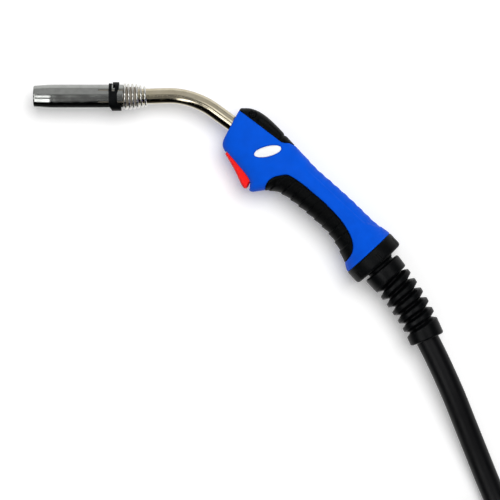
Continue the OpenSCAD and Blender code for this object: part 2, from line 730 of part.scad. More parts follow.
module switch_plunger() {
    color([0.85, 0.3, 0.2]) handle() translate([plunger_u, switch_low - plunger_out, 0]) rotate([-90, 0, 0])
        cylinder(h = plunger_out + 2, d = plunger_d);
}

// A compression spring between the trigger's floor and the switch.
press_wire = 0.6;
press_low = trigger_floor + 0.1;
press_high = switch_low - 0.1;
press_path = [
    for (k = [0:40])
        let (a = 45 * k, y = mix(press_low + press_wire / 2, press_high - press_wire / 2, k / 40))
        [spring_u + 2 * cos(a), y, 2 * sin(a)]
];
echo(trigger_spring_gap = least_gap(press_path, press_wire, 5));

module trigger_spring() {
    color("silver") handle() skin(tube_rings(press_path, press_wire / 2, 6, up = [0, 1, 0]));
}

// Two insulated wires from the switch to the cable.
module switch_leads() {
    end = [cable_from[0] + 5, cable_from[1] - cable_d / 2 - 0.4];
    color([0.1, 0.1, 0.1]) handle() for (z = [-lead_z, lead_z])
        skin(tube_rings([
            [lead_from[0], lead_from[1], z], [lead_from[0] + 3, lead_from[1], z],
            [lead_from[0] + 9, lead_from[1] + 2, z],
            [mix(lead_from[0], end[0], 0.7), mix(lead_from[1], end[1], 0.75), z], [end[0], end[1] - 0.9, z]
        ], 0.8, 8));
}

// ---- current joint and cable inside the handle ---------------------------------------

block_d = 17;

module neck_block() {
    length = 26;
    color([0.78, 0.62, 0.3]) into_handle_at(neck_in + fit) difference() {
        union() {
            along() cylinder(h = length, d = block_d);
            translate([4, 0, 0]) along() cylinder(h = 9, d = block_d + 2.4, $fn = 6);
        }
        translate([-1, 0, 0]) along() cylinder(h = core_in - neck_in + 1.2, d = core_d + 2 * fit);
        translate([-1, 0, 0]) along() cylinder(h = lots, d = liner_d + 2 * fit);
    }
}

module into_handle_at(x) handle() into_handle() translate([x, 0, 0]) children();

module cable_ferrule() {
    start = neck_in + 26 + 2 * fit;
    color([0.7, 0.5, 0.3]) into_handle_at(start) difference() {
        along() cylinder(h = core_in + 30 - start - fit, d = block_d - 1);
        translate([2, 0, 0]) along() rotate_extrude() translate([block_d / 2, 0]) circle(r = 1, $fn = 24);
    }
}

module handle_cable() {
    color([0.06, 0.06, 0.06]) handle() cable_way(cable_d);
}

// ---- cable nut, swivel and bend guard --------------------------------------------------

module cable_nut() {
    round_r = 3;
    color([0.05, 0.05, 0.055]) handle() difference() {
        along() rotate_extrude($fn = 96) union() {
            translate([0, fit]) square([nut_d / 2 - 0.6, 1]);
            translate([0, 0.6]) square([nut_d / 2, nut_len - round_r - 0.6]);
            square([nut_d / 2 - round_r, nut_len]);
            translate([nut_d / 2 - round_r, nut_len - round_r]) circle(r = round_r);
        }
        translate([-1, 0, 0]) along() cylinder(h = spigot_len + 1 + fit, r = spigot_r + fit, $fn = 64);
        translate([ball_u, 0, 0]) sphere(r = socket_r, $fn = 64);
        for (k = [0:5], s = [-1, 1]) rotate([60 * k + 9 * s, 0, 0])
            translate([nut_len - 9.5, -0.9, nut_d / 2 - 1]) cube([lots, 1.8, 4]);
    }
}

guard_bore = cable_d + 0.7;

module swivel_ball() {
    spigot = 12.4;
    color([0.08, 0.08, 0.085]) swivel() difference() {
        union() {
            sphere(d = ball_d, $fn = 64);
            along() cylinder(h = guard_x - fit, r = spigot + 0.8);
            along() cylinder(h = guard_x + collar_len - 1, r = spigot);
        }
        translate([-ball_d, -lots / 2, -lots / 2]) cube([ball_d - 12, lots, lots]);
        translate([-lots / 2, 0, 0]) along() cylinder(h = lots, d = guard_bore);
        translate([-12.5, 0, 0]) along() cylinder(h = 10, r1 = 13.5, r2 = guard_bore / 2);
    }
}

module guard_cable() {
    straight = guard_x + collar_len;
    color([0.06, 0.06, 0.06]) swivel() union() {
        translate([-5, 0, 0]) along() cylinder(h = straight + 5 + lap, d = cable_d);
        translate([straight, -guard_r, 0]) rotate([0, 0, 90 - guard_bend])
            rotate_extrude(angle = guard_bend, $fn = 96) translate([guard_r, 0]) circle(d = cable_d * thin);
    }
}

// The rubber guard: a bent core between two collars, with one raised rib wound round it as a helix.
guard_core_r = guard_bore / 2 + 1.7;

function guard_ring(s, r, n) =
    let (c = guard_point(s), a = guard_angle(s))
    [for (k = [0:n - 1]) c + r * [-sin(a) * cos(360 * k / n), cos(a) * cos(360 * k / n), sin(360 * k / n)]];
function guard_top(s) = mix(guard_d / 2 - 0.3, guard_end_d / 2 + 0.4, s / guard_len);

// Four lines wound side by side, as shares of the pitch: two along a coil's top, two along its foot.
coil_lines = [[-0.2, true], [0.2, true], [0.46, false], [0.54, false]];
coil_sides = 24;
coil_from = collar_len - 6;
coil_steps = floor((guard_len - 4 - coil_from) / guard_pitch * coil_sides);
function coil_line(line, k) =
    let (
        s = coil_from + (line[0] + k / coil_sides) * guard_pitch,
        r = line[1] ? guard_top(s) : guard_core_r,
        a = guard_angle(s),
        turn = 360 * k / coil_sides
    )
    guard_point(s) + r * [-sin(a) * cos(turn), cos(a) * cos(turn), sin(turn)];

// The raised coils: a closed skin between the four lines, pointed at both ends on the axis.
module raised_coils() {
    row = coil_steps + 1;
    function id(line, k) = line < 4 ? line * row + k : k + coil_sides;
    first = 4 * row;
    last = first + 1;
    start = concat([for (k = [0:coil_sides]) id(0, k)], [id(3, 0), id(2, 0), id(1, 0), id(0, 0)]);
    end = concat([for (k = [coil_steps - coil_sides:coil_steps]) id(3, k)],
        [for (line = [2, 1, 0]) id(line, coil_steps)], [id(3, coil_steps - coil_sides)]);
    polyhedron(
        points = concat(
            [for (line = coil_lines, k = [0:coil_steps]) coil_line(line, k)],
            [guard_point(coil_from - 0.3 * guard_pitch), guard_point(guard_len - 0.5)]
        ),
        faces = concat(
            [for (line = [0:3], k = [0:coil_steps - 1 - (line < 3 ? 0 : coil_sides)])
                [id(line, k), id(line + 1, k + 1), id(line, k + 1)]],
            [for (line = [0:3], k = [0:coil_steps - 1 - (line < 3 ? 0 : coil_sides)])
                [id(line, k), id(line + 1, k), id(line + 1, k + 1)]],
            [for (i = [0:len(start) - 2]) [first, start[i], start[i + 1]]],
            [for (i = [0:len(end) - 2]) [last, end[i + 1], end[i]]]
        )
    );
}

module guard_hull(a, b, ra, rb, n) hull()
    polyhedron(points = concat(guard_ring(a, ra, n), guard_ring(b, rb, n)), faces = [[for (k = [0:2 * n - 1]) k]]);

module bend_guard() {
    bends = 8;
    ends = guard_len - 9.6;
    function bend(k) = mix(collar_len, guard_len, k / bends);
    color([0.07, 0.07, 0.07]) swivel() difference() {
        union() {
            guard_hull(0, 1.2, guard_d / 2 - 1.2, guard_d / 2, 40);
            guard_hull(1.2, collar_len - 1, guard_d / 2, guard_d / 2 - 0.5, 40);
            guard_hull(collar_len - 1, collar_len, guard_d / 2 - 0.5, guard_d / 2 - 1.4, 40);
            skin([for (k = [0:bends]) guard_ring(bend(k) - (k == 0 ? 2 : k == bends ? 1 : 0), guard_core_r - 0.2, 32)]);
            raised_coils();
            guard_hull(ends, ends + 1, guard_end_d / 2 - 0.2, guard_end_d / 2 + 0.8, 40);
            guard_hull(ends + 1, guard_len - 1, guard_end_d / 2 + 0.8, guard_end_d / 2 + 0.7, 40);
            guard_hull(guard_len - 1, guard_len, guard_end_d / 2 + 0.7, guard_end_d / 2 - 0.3, 40);
        }
        guard_hull(-1, collar_len - 0.5, 12.6, 12.6, 32);
        skin([for (k = [0:bends]) guard_ring(bend(k) + (k == 0 ? -2 : k == bends ? 1 : 0), guard_bore / 2, 32)]);
    }
}

// ---- the free cable ------------------------------------------------------------------------
// Points in the resting frame. The cable leaves the guard level, comes down to the floor and runs into the coil.

floor_z = cable_d / 2 + 0.2;
coil_at = [152, -410];
coil_out = 134;
coil_pitch = 22;
coil_in = -67;
coil_turns = 3 + (coil_in + 180) / 360;
coil_count = 80;
lead = cable_d;                     // straight lengths at the coil's ends
cable_start = [exit_at[0] - middle[0], exit_at[1] - middle[1], rest_z];

function direction(a) = [cos(a), sin(a), 0];
function coil_point(t) =
    let (
        a = coil_in + 90 - 360 * coil_turns * t,
        r = coil_out - coil_pitch * coil_turns * min(t, 1 - t),
        climb = ((t - 0.5) * coil_turns * 360 + 90) / 180
    )
    [coil_at[0] + r * cos(a), coil_at[1] + r * sin(a), floor_z + coil_step * smooth(climb)];
coil_path = concat(
    [coil_point(0) - lead * direction(coil_in)],
    [for (k = [0:coil_count]) coil_point(k / coil_count)],
    [coil_point(1) - [lead, 0, 0]]
);
function fall(share) = mix(floor_z, rest_z, share);
cable_lift = 4;                     // the cable leaves the guard less steeply than the guard ends, in degrees
run_points = [
    cable_start, cable_start + 20 * direction(exit_heading + cable_lift), [193, -161, fall(0.85)],
    [204, -188, fall(0.58)], [215, -215, fall(0.28)], [226, -242, fall(0.08)], [238, -270, fall(0.01)],
    [250, -298, floor_z],
    coil_path[0] - 20 * direction(coil_in), coil_path[0]
];
plug_at = [60, coil_at[1] - coil_out, hand_nut_d / 2];
tail_points = [
    coil_path[len(coil_path) - 1], coil_path[len(coil_path) - 1] - [12, 0, 0],
    plug_at + [42, 0, 3.5], plug_at + [25, 0, 1], plug_at + [15, 0, 0], plug_at
];
echo(coil_gap = least_gap(coil_path, cable_d, 6));
function path_length(p) = len(p) < 2 ? 0 : let (d = [for (i = [1:len(p) - 1]) norm(p[i] - p[i - 1])]) d * [for (x = d) 1];
echo(cable_length = path_length(run_points) + path_length(coil_path) + path_length(tail_points));
echo(cable_start = cable_start, exit_heading = exit_heading, middle = middle);

module cable_run() color([0.06, 0.06, 0.06]) skin(tube_rings(run_points, cable_d / 2, 12));
module cable_coil() color([0.06, 0.06, 0.06]) skin(tube_rings(coil_path, cable_d / 2, 6, 30));
module cable_tail() color([0.06, 0.06, 0.06]) skin(tube_rings(tail_points, cable_d / 2, 12));

// ---- connector: its own axis points away from the cable -------------------------------------

module plug() translate(plug_at) rotate([0, 0, 180]) children();
housing_x = tail_guard_len - 8;
housing_len = 40;
housing_d = 38;
body_x = housing_x + housing_len;   // the brass body's shoulder
body_d = 27;
body_len = 26;
hand_nut_x = body_x - 6;
hand_bore_d = hand_nut_d - 18;
face_x = body_x + body_len;

module plug_guard() {
    ribs = 6;
    rib = (housing_x - 4) / ribs;
    color([0.07, 0.07, 0.07]) plug() difference() {
        along() rotate_extrude() difference() {
            polygon([
                [0, 0], [cable_d / 2 + 2.4, 0], [cable_d / 2 + 3, 0.8],
                [housing_d / 2 - 3.6, tail_guard_len], [0, tail_guard_len]
            ]);
            for (i = [0:ribs - 1]) translate([cable_d / 2 + 1.4, 4 + rib * i]) square([20, rib * 0.42]);
        }
        translate([tail_guard_len - 1.5, 0, 0]) along() cylinder(h = 10, r = 6);
    }
}

module plug_housing() {
    color([0.05, 0.05, 0.055]) plug() difference() {
        along() rotate_extrude() difference() {
            polygon([
                [0, housing_x], [housing_d / 2 - 2, housing_x], [housing_d / 2, housing_x + 2],
                [housing_d / 2, housing_x + housing_len - 9], [body_d / 2 + 1.6, housing_x + housing_len - 8.8],
                [body_d / 2 + 1.6, body_x], [0, body_x]
            ]);
            for (i = [0:2]) translate([housing_d / 2, housing_x + 8 + 7 * i]) circle(r = 1.1, $fn = 24);
        }
        translate([housing_x - 1, 0, 0]) along() cylinder(h = tail_guard_len - housing_x + 1 + fit, r = housing_d / 2 - 3.5);
        translate([body_x - 20, 0, 0]) along() cylinder(h = lots, d = body_d - 6 + 2 * fit);
    }
}

module plug_body() {
    color([0.78, 0.62, 0.3]) plug() difference() {
        union() {
            translate([body_x - 20 + fit, 0, 0]) along() cylinder(h = 20, d = body_d - 6);
            translate([body_x + fit, 0, 0]) along() cylinder(h = body_len - fit, d = body_d);
            translate([body_x + fit, 0, 0]) along() cylinder(h = 3, d = body_d + 4);
            translate([face_x - 1, 0, 0]) along() cylinder(h = plug_len - 1, d = plug_d);
            translate([face_x + plug_len - 2, 0, 0]) along() cylinder(h = 2, d1 = plug_d, d2 = plug_d - 2.4);
        }
        translate([face_x + plug_len - 5, 0, 0]) along() cylinder(h = lots, d = 6.2);
        translate([face_x - 8, 0, pipe_z]) along() cylinder(h = lots, d = pipe_d + 2 * fit);
        for (y = [-pin_y, pin_y]) translate([face_x - 14, y, pin_z]) along() cylinder(h = lots, d = control_d + 0.1);
    }
}

pipe_z = plug_d / 2 + 4.2;
pipe_d = 5.2;
pin_y = plug_d / 2 + 2.5;
pin_z = -4.6;
control_d = 3.6;
control_out = 9;
control_travel = 3;

module gas_pipe() {
    color([0.78, 0.62, 0.3]) plug() difference() {
        translate([face_x - 7.8, 0, pipe_z]) along() rotate_extrude() difference() {
            square([pipe_d / 2, 20]);
            translate([pipe_d / 2, 16]) circle(d = 1.5, $fn = 24);
        }
        translate([face_x - 9, 0, pipe_z]) along() cylinder(h = lots, d = 2.6);
    }
}

module gas_seal() {
    color([0.1, 0.1, 0.1]) plug() translate([face_x + 8.2, 0, pipe_z]) along()
        rotate_extrude() translate([pipe_d / 2, 0]) circle(d = 1.4, $fn = 24);
}

module control_pin(y) {
    color([0.85, 0.75, 0.45]) plug() translate([face_x, y, pin_z]) along() union() {
        translate([0, 0, -9]) cylinder(h = 9 + control_out - 1, d = control_d);
        translate([0, 0, control_out - 1]) cylinder(h = 1, d1 = control_d, d2 = control_d - 1.4);
    }
}

module control_pin_1() control_pin(-pin_y);
module control_pin_2() control_pin(pin_y);

module liner_nut() {
    color([0.78, 0.62, 0.3]) plug() difference() {
        union() {
            translate([face_x + plug_len + fit, 0, 0]) along() cylinder(h = 4, d = 10, $fn = 6);
            translate([face_x + plug_len - 4.8, 0, 0]) along() cylinder(h = 6, d = 6);
        }
        translate([face_x + plug_len - 6, 0, 0]) along() cylinder(h = lots, d = weld_wire_d + 1);
    }
}

module hand_nut() {
    scallops = 12;
    shoulder = 4;
    color([0.05, 0.05, 0.055]) plug() difference() {
        translate([hand_nut_x, 0, 0]) along() rotate_extrude($fn = 96) union() {
            translate([0, 2]) square([hand_nut_d / 2, hand_nut_len - 4]);
            square([hand_nut_d / 2 - 2, hand_nut_len]);
            for (y = [2, hand_nut_len - 2]) translate([hand_nut_d / 2 - 2, y]) circle(r = 2);
        }
        translate([hand_nut_x - 1, 0, 0]) along() cylinder(h = lots, d = body_d + 4 + 2 * gap);
        translate([hand_nut_x + shoulder + 6, 0, 0]) along() cylinder(h = lots, d = hand_bore_d);
        for (k = [0:scallops - 1]) rotate([(k + 0.5) * 360 / scallops, 0, 0])
            translate([hand_nut_x + 5, 0, hand_nut_d / 2 + 2.2]) along() cylinder(h = hand_nut_len - 10, r = 3.6, $fn = 32);
    }
}

gas_nozzle();
nozzle_clip();
nozzle_spring();
contact_tip();
tip_holder();
gas_diffuser();
nozzle_seat();
neck_tube();
neck_insulation();
neck_core();
wire_liner();
left_shell();
right_shell();
top_cap();
cap_screw();
left_grip();
right_grip();
badge();
trigger();
trigger_pin();
switch_frame();
switch_body();
switch_plunger();
trigger_spring();
switch_leads();
neck_block();
cable_ferrule();
handle_cable();
cable_nut();
swivel_ball();
guard_cable();
bend_guard();
cable_run();
cable_coil();
cable_tail();
plug_guard();
plug_housing();
hand_nut();
plug_body();
gas_pipe();
gas_seal();
control_pin_1();
control_pin_2();
liner_nut();
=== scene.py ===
"""A MIG welding torch with its cable and connector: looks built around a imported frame."""

import math

import bmesh
import bpy
import numpy as np
from mathutils import Matrix, Vector


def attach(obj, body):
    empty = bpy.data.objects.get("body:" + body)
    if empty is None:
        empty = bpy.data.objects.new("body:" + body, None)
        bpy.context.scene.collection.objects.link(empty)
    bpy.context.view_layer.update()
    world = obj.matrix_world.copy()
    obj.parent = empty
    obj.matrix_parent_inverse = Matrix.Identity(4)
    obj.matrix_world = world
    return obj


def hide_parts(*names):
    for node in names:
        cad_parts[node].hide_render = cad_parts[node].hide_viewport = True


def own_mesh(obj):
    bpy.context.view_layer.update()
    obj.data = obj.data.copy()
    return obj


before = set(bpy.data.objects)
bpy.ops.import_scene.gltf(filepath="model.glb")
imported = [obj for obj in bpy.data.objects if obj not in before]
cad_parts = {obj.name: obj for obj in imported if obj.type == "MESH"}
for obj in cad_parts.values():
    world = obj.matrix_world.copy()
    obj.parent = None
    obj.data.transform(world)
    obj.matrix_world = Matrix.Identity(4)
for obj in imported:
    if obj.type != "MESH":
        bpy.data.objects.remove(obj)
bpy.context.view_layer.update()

bl_info = {
    "name": "MIG welding torch",
    "version": (1, 0, 0),
    "blender": (4, 5, 0),
    "location": "View3D > Sidebar > Torch",
    "description": "Builds the visible pieces of a gas-cooled welding torch, its cable and its connector",
    "category": "Object",
}

MM = 0.001

# ---- places -----------------------------------------------------------------
# Each part has axes of its own, in millimetres; these place them in the frame.

MID = 0.0259                        # height of the torch's middle plane
HANDLE_TILT = 47.3                  # slope of the handle, in degrees
NECK_ANGLE = 36                     # bend of the neck, in degrees
SWIVEL_REST = 3                     # the bend guard rests this much steeper than the handle


def place(x, y, z, turn):
    """Axes that stand at a point in metres, turned about the vertical by degrees."""
    return Matrix.Translation((x, y, z)) @ Matrix.Rotation(math.radians(turn), 4, "Z")


HANDLE = place(0.117472, -0.034795, MID, -HANDLE_TILT)                # u to the cable, v to the back
NOSE = place(-0.060425, 0.105671, MID, 180)                           # x forward along the nozzle
SWIVEL = place(0.119506, -0.037, MID, -HANDLE_TILT - SWIVEL_REST)     # x along the bend guard
PLUG = place(0.060, -0.544, 0.026, 180)                               # x along the connector
OTHER_SIDE = (1, 1, -1)                                               # mirrors a left half to a right one


def moved(points, axes):
    """Points in millimetres of some axes, as metres of the scene."""
    m = np.array(axes)
    return np.asarray(points, float) * MM @ m[:3, :3].T + m[:3, 3]


def heading(degrees):
    return np.array([math.cos(math.radians(degrees)), math.sin(math.radians(degrees)), 0])


# ---- meshes and pieces -----------------------------------------------------------


def mesh_of(name, verts, faces, edges=()):
    mesh = bpy.data.meshes.new(name)
    mesh.from_pydata([tuple(v) for v in verts], list(edges), [tuple(int(i) for i in f) for f in faces])
    return mesh


def shown(name, data):
    """A new object in the scene."""
    obj = bpy.data.objects.new(name, data)
    bpy.context.scene.collection.objects.link(obj)
    return obj


def clean(mesh, gap):
    """Merges points closer than a gap and turns all faces outwards."""
    work = bmesh.new()
    work.from_mesh(mesh)
    bmesh.ops.remove_doubles(work, verts=work.verts, dist=gap)
    bmesh.ops.recalc_face_normals(work, faces=work.faces)
    work.to_mesh(mesh)
    work.free()


def finished(obj, material, body, *stands_for, sharp=38):
    """A closed mesh in place, smooth but for its edges above an angle, that rides on a body."""
    clean(obj.data, 1e-7)
    obj.data.shade_smooth()
    obj.data.set_sharp_from_angle(angle=math.radians(sharp))
    obj.data.materials.clear()
    obj.data.materials.append(material)
    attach(obj, body)
    if stands_for:
        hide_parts(*stands_for)


def piece(name, form, axes, material, body, *stands_for, sharp=38):
    """A finished piece from points and faces in the millimetres of some axes."""
    verts, faces = form
    obj = shown(name, mesh_of(name, moved(verts, axes), faces))
    finished(obj, material, body, *stands_for, sharp=sharp)


def kept(material, *nodes):
    """CAD nodes that stay as they are and only get their real finish."""
    for node in nodes:
        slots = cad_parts[node].data.materials
        slots.clear()
        slots.append(material)


# ---- turned and swept forms ---------------------------------------------------------


def rounded(outline, radius, steps=4, closed=True):
    """An outline of (r, x) points with its corners rounded; a third number sets a corner's own radius."""
    pts = [np.array(p[:2], float) for p in outline]
    radii = [p[2] if len(p) > 2 else radius for p in outline]
    out = []
    for i, p in enumerate(pts):
        if not closed and i in (0, len(pts) - 1):
            out.append(p)
            continue
        a, b = pts[i - 1], pts[(i + 1) % len(pts)]
        da, db = np.linalg.norm(a - p), np.linalg.norm(b - p)
        cut = min(radii[i], 0.45 * da, 0.45 * db)
        if cut < 0.02:
            out.append(p)
            continue
        start, end = p + (a - p) / da * cut, p + (b - p) / db * cut
        for t in np.linspace(0, 1, steps + 1):
            out.append((1 - t) ** 2 * start + 2 * t * (1 - t) * p + t * t * end)
    return np.array(out)


def lathe(outline, steps=96, closed=True):
    """Points and faces of an outline of (r, x) turned about the x axis."""
    verts, faces, rings = [], [], []
    for r, x in outline:
        if r < 1e-6:
            rings.append([len(verts)] * steps)
            verts.append((x, 0, 0))
            continue
        rings.append(list(range(len(verts), len(verts) + steps)))
        verts += [(x, r * math.cos(t), r * math.sin(t)) for t in np.arange(steps) * 2 * math.pi / steps]
    following = rings[1:] + rings[:1] if closed else rings[1:]
    for a, b in zip(rings, following):
        for k in range(steps):
            quad = [a[k], a[(k + 1) % steps], b[(k + 1) % steps], b[k]]
            quad = [q for i, q in enumerate(quad) if q != quad[i - 1]]
            if len(quad) > 2:
                faces.append(quad)
    return np.array(verts), faces


def skinned(rings, looped=False):
    """Points and faces over equal rings, with flat ends unless the last ring runs into the first."""
    n, m = len(rings), len(rings[0])
    faces = [(i * m + k, i * m + (k + 1) % m, (i + 1) % n * m + (k + 1) % m, (i + 1) % n * m + k)
             for i in range(n if looped else n - 1) for k in range(m)]
    if not looped:
        faces += [tuple(range(m))[::-1], tuple((n - 1) * m + k for k in range(m))]
    return np.concatenate(rings), faces


def joined(*parts):
    """Several (points, faces) as one."""
    verts, faces, count = [], [], 0
    for v, f in parts:
        verts.append(v)
        faces += [[i + count for i in face] for face in f]
        count += len(v)
    return np.concatenate(verts), faces


def block(low, high):
    (x0, y0, z0), (x1, y1, z1) = low, high
    return skinned([[(x, y0, z0), (x, y1, z0), (x, y1, z1), (x, y0, z1)] for x in (x0, x1)])


def tube(path, radius, steps):
    """A round bar along a path that keeps near the level."""
    along = np.gradient(np.asarray(path, float), axis=0)
    along /= np.linalg.norm(along, axis=1)[:, None]
    across = np.cross((0, 0, 1), along)
    across /= np.linalg.norm(across, axis=1)[:, None]
    above = np.cross(along, across)
    turn = np.arange(steps)[:, None] * 2 * math.pi / steps
    c, s = radius * np.cos(turn), radius * np.sin(turn)
    return skinned([p + c * a + s * b for p, a, b in zip(path, across, above)])


def smooth_line(points, steps):
    """A smooth curve through points, with a number of steps between each two."""
    p = np.asarray(points, float)
    last = len(p) - 1
    out = []
    for i in range(last):
        a, b, c, d = p[[max(i - 1, 0), i, i + 1, min(i + 2, last)]]
        for t in np.arange(steps) / steps:
            out.append(0.5 * (2 * b + (c - a) * t + (2 * a - 5 * b + 4 * c - d) * t * t
                              + (3 * b - a - 3 * c + d) * t ** 3))
    return np.array(out + [p[-1]])


# ---- surfaces from a distance field ---------------------------------------------------
# A field gives each point's distance to a form, negative inside.


def fade(x, a, b):
    """Rises smoothly from 0 at a to 1 at b."""
    t = np.clip((x - a) / (b - a), 0, 1)
    return t * t * (3 - 2 * t)


def between(a, b, t):
    return a + (b - a) * t


def soft_max(a, b, k):
    """The larger of two distances with the edge between them rounded over k."""
    h = np.clip(0.5 + 0.5 * (a - b) / k, 0, 1)
    return b + (a - b) * h + k * h * (1 - h)


def cut_by(d, tool, k):
    return soft_max(d, -tool, k)


def box_field(u, v, w, low, high):
    sides = [low[0] - u, u - high[0], low[1] - v, v - high[1], low[2] - w, w - high[2]]
    d = sides[0]
    for side in sides[1:]:
        d = np.maximum(d, side)
    return d


def capsule_field(u, v, w, start, end, r):
    start, way = np.array(start, float), np.subtract(end, start)
    gap = [u - start[0], v - start[1], w - start[2]]
    t = np.clip(sum(g * x for g, x in zip(gap, way)) / (way @ way), 0, 1)
    return np.sqrt(sum((g - t * x) ** 2 for g, x in zip(gap, way))) - r


def region(u, v, line):
    """Signed distance to a closed line in the u, v plane: negative inside."""
    u, v = np.broadcast_arrays(u, v)
    best = np.full(u.shape, 1e9)
    inside = np.zeros(u.shape, bool)
    for (x0, y0), (x1, y1) in zip(line, np.roll(line, -1, axis=0)):
        ex, ey = x1 - x0, y1 - y0
        t = np.clip(((u - x0) * ex + (v - y0) * ey) / (ex * ex + ey * ey + 1e-12), 0, 1)
        best = np.minimum(best, (u - x0 - t * ex) ** 2 + (v - y0 - t * ey) ** 2)
        if y0 != y1:
            crosses = (v < y0) != (v < y1)
            inside ^= crosses & (u < x0 + (v - y0) * ex / ey)
    return np.where(inside, -1, 1) * np.sqrt(best)


def surface(field, low, high, step):
    """Points and faces where a field is zero: a net of quads, each point then moved on to the surface."""
    axes = [np.arange(a, b + step, step) for a, b in zip(low, high)]
    d = np.broadcast_to(field(*np.ix_(*axes)), [len(a) for a in axes]).astype(np.float32)
    inside = d < 0
    n = np.array(d.shape) - 1
    total = np.zeros(tuple(n) + (3,), np.float32)
    count = np.zeros(tuple(n), np.float32)

    def corner(c):
        """The distances at one corner of every cell."""
        return d[c[0]:c[0] + n[0], c[1]:c[1] + n[1], c[2]:c[2] + n[2]]

    # A cell's point is the middle of the places where the form crosses its twelve edges.
    for c in np.ndindex(2, 2, 2):
        for axis in range(3):
            if c[axis]:
                continue
            e = np.array(c)
            e[axis] = 1
            da, db = corner(c), corner(e)
            hit = (da < 0) != (db < 0)
            t = np.where(hit, da / np.where(hit, da - db, 1), 0)
            for k in range(3):
                total[..., k] += np.where(hit, c[k] + (t if k == axis else 0), 0)
            count += hit
    used = count > 0
    index = np.full(tuple(n), -1, int)
    index[used] = np.arange(int(used.sum()))
    points = (np.argwhere(used) + total[used] / count[used][:, None]) * step + [a[0] for a in axes]

    # Each crossed edge of the net gets the quad between the four cells round it.
    faces = []
    for axis in range(3):
        b, c = (axis + 1) % 3, (axis + 2) % 3
        lo, hi = [slice(None)] * 3, [slice(None)] * 3
        lo[axis], hi[axis] = slice(0, -1), slice(1, None)
        where = np.argwhere(inside[tuple(lo)] != inside[tuple(hi)])
        where = where[(where[:, b] > 0) & (where[:, c] > 0) & (where[:, b] < n[b]) & (where[:, c] < n[c])]
        outward = inside[tuple(lo)][tuple(where.T)]
        quads = []
        for sb, sc in ((1, 1), (0, 1), (0, 0), (1, 0)):
            cell = where.copy()
            cell[:, b] -= sb
            cell[:, c] -= sc
            quads.append(index[tuple(cell.T)])
        quads = np.stack(quads, axis=1)
        quads[~outward] = quads[~outward][:, ::-1]
        faces.append(quads)

    def value(p):
        return np.asarray(field(p[:, 0], p[:, 1], p[:, 2]))

    eps = 0.15 * step
    for _ in range(3):
        here = value(points)
        slope = np.stack([value(points + side) - value(points - side) for side in eps * np.eye(3)], axis=1)
        slope /= 2 * eps
        length2 = np.maximum((slope ** 2).sum(axis=1), 0.05)
        points = points - np.clip(here / length2, -0.4 * step, 0.4 * step)[:, None] * slope
    return points, np.concatenate(faces)


# ---- the handle's form --------------------------------------------------------------------

HANDLE_LEN = 174.0                  # length of the handle
BACK = 16.5                         # height of the back over the handle's axis
BELLY = 34.0                        # depth of the belly at the trigger
WAIST = 14.4                        # depth of the waist
HALF_W = 17.0                       # half the handle's thickness
REAR = 25.6                         # radius where the shells meet the cable nut
WALL = 4.4                          # thickness of the shells
CAP_WALL = 2.5                      # thickness of the cap
PAD_DEEP = 1.4                      # depth of the pads' recess
WAVE_PITCH, WAVE_HIGH = 9.35, 0.45  # shallow waves along the back
RIB_PITCH, RIB_HIGH = 9.2, 1.3      # ribs of the pads
CREASE_DEEP = 0.8                   # step down to the flat along the back
HALF_GAP = 0.04                     # each half stops this far from the middle plane

# Share of the length, height of the back, depth of the belly, half thickness, squareness.
STATIONS = np.array([
    [-0.017, BACK - 17.0, BELLY - 10.0, HALF_W - 4.6, 2.7],
    [0.006, BACK - 12.3, BELLY - 8.0, HALF_W - 3.6, 2.8],
    [0.034, BACK - 7.3, BELLY - 6.5, HALF_W - 2.6, 2.8],
    [0.063, BACK - 4.3, BELLY - 4.7, HALF_W - 1.8, 2.9],
    [0.092, BACK - 2.4, BELLY - 1.5, HALF_W - 1.3, 3.0],
    [0.138, BACK - 0.8, BELLY - 0.4, HALF_W - 0.8, 3.0],
    [0.207, BACK, BELLY, HALF_W - 0.5, 3.0],
    [0.282, BACK, BELLY + 0.9, HALF_W - 0.3, 3.0],
    [0.316, BACK, BELLY + 2.8, HALF_W - 0.2, 2.9],
    [0.336, BACK, BELLY + 6.4, HALF_W - 0.2, 2.8],
    [0.359, BACK, BELLY + 6.2, HALF_W - 0.2, 2.7],
    [0.397, BACK, between(BELLY, WAIST, 0.14), HALF_W - 0.1, 2.6],
    [0.437, BACK + 0.3, between(BELLY, WAIST, 0.5), HALF_W, 2.5],
    [0.489, BACK + 0.7, between(BELLY, WAIST, 0.71), HALF_W, 2.4],
    [0.586, between(BACK, REAR, 0.3), WAIST + 2.6, HALF_W, 2.4],
    [0.713, between(BACK, REAR, 0.54), WAIST + 0.2, HALF_W, 2.3],
    [0.793, between(BACK, REAR, 0.64), WAIST - 0.2, HALF_W + 0.4, 2.3],
    [0.874, between(BACK, REAR, 0.72), between(WAIST, REAR, 0.2), HALF_W + 1.8, 2.2],
    [0.948, between(BACK, REAR, 0.84), between(WAIST, REAR, 0.64), HALF_W + 4.6, 2.1],
    [0.983, between(BACK, REAR, 0.97), between(WAIST, REAR, 0.93), REAR - 1.2, 2.0],
    [1.0, REAR, REAR, REAR, 2.0],
])
FINE = smooth_line(STATIONS, 12)


def at(share):
    """The place along the handle at a share of its length."""
    return -HANDLE_LEN * (1 - share)


def line_at(*points):
    """A line over the handle's cheek: shares of its length with heights."""
    return np.array([[at(share), v] for share, v in points])


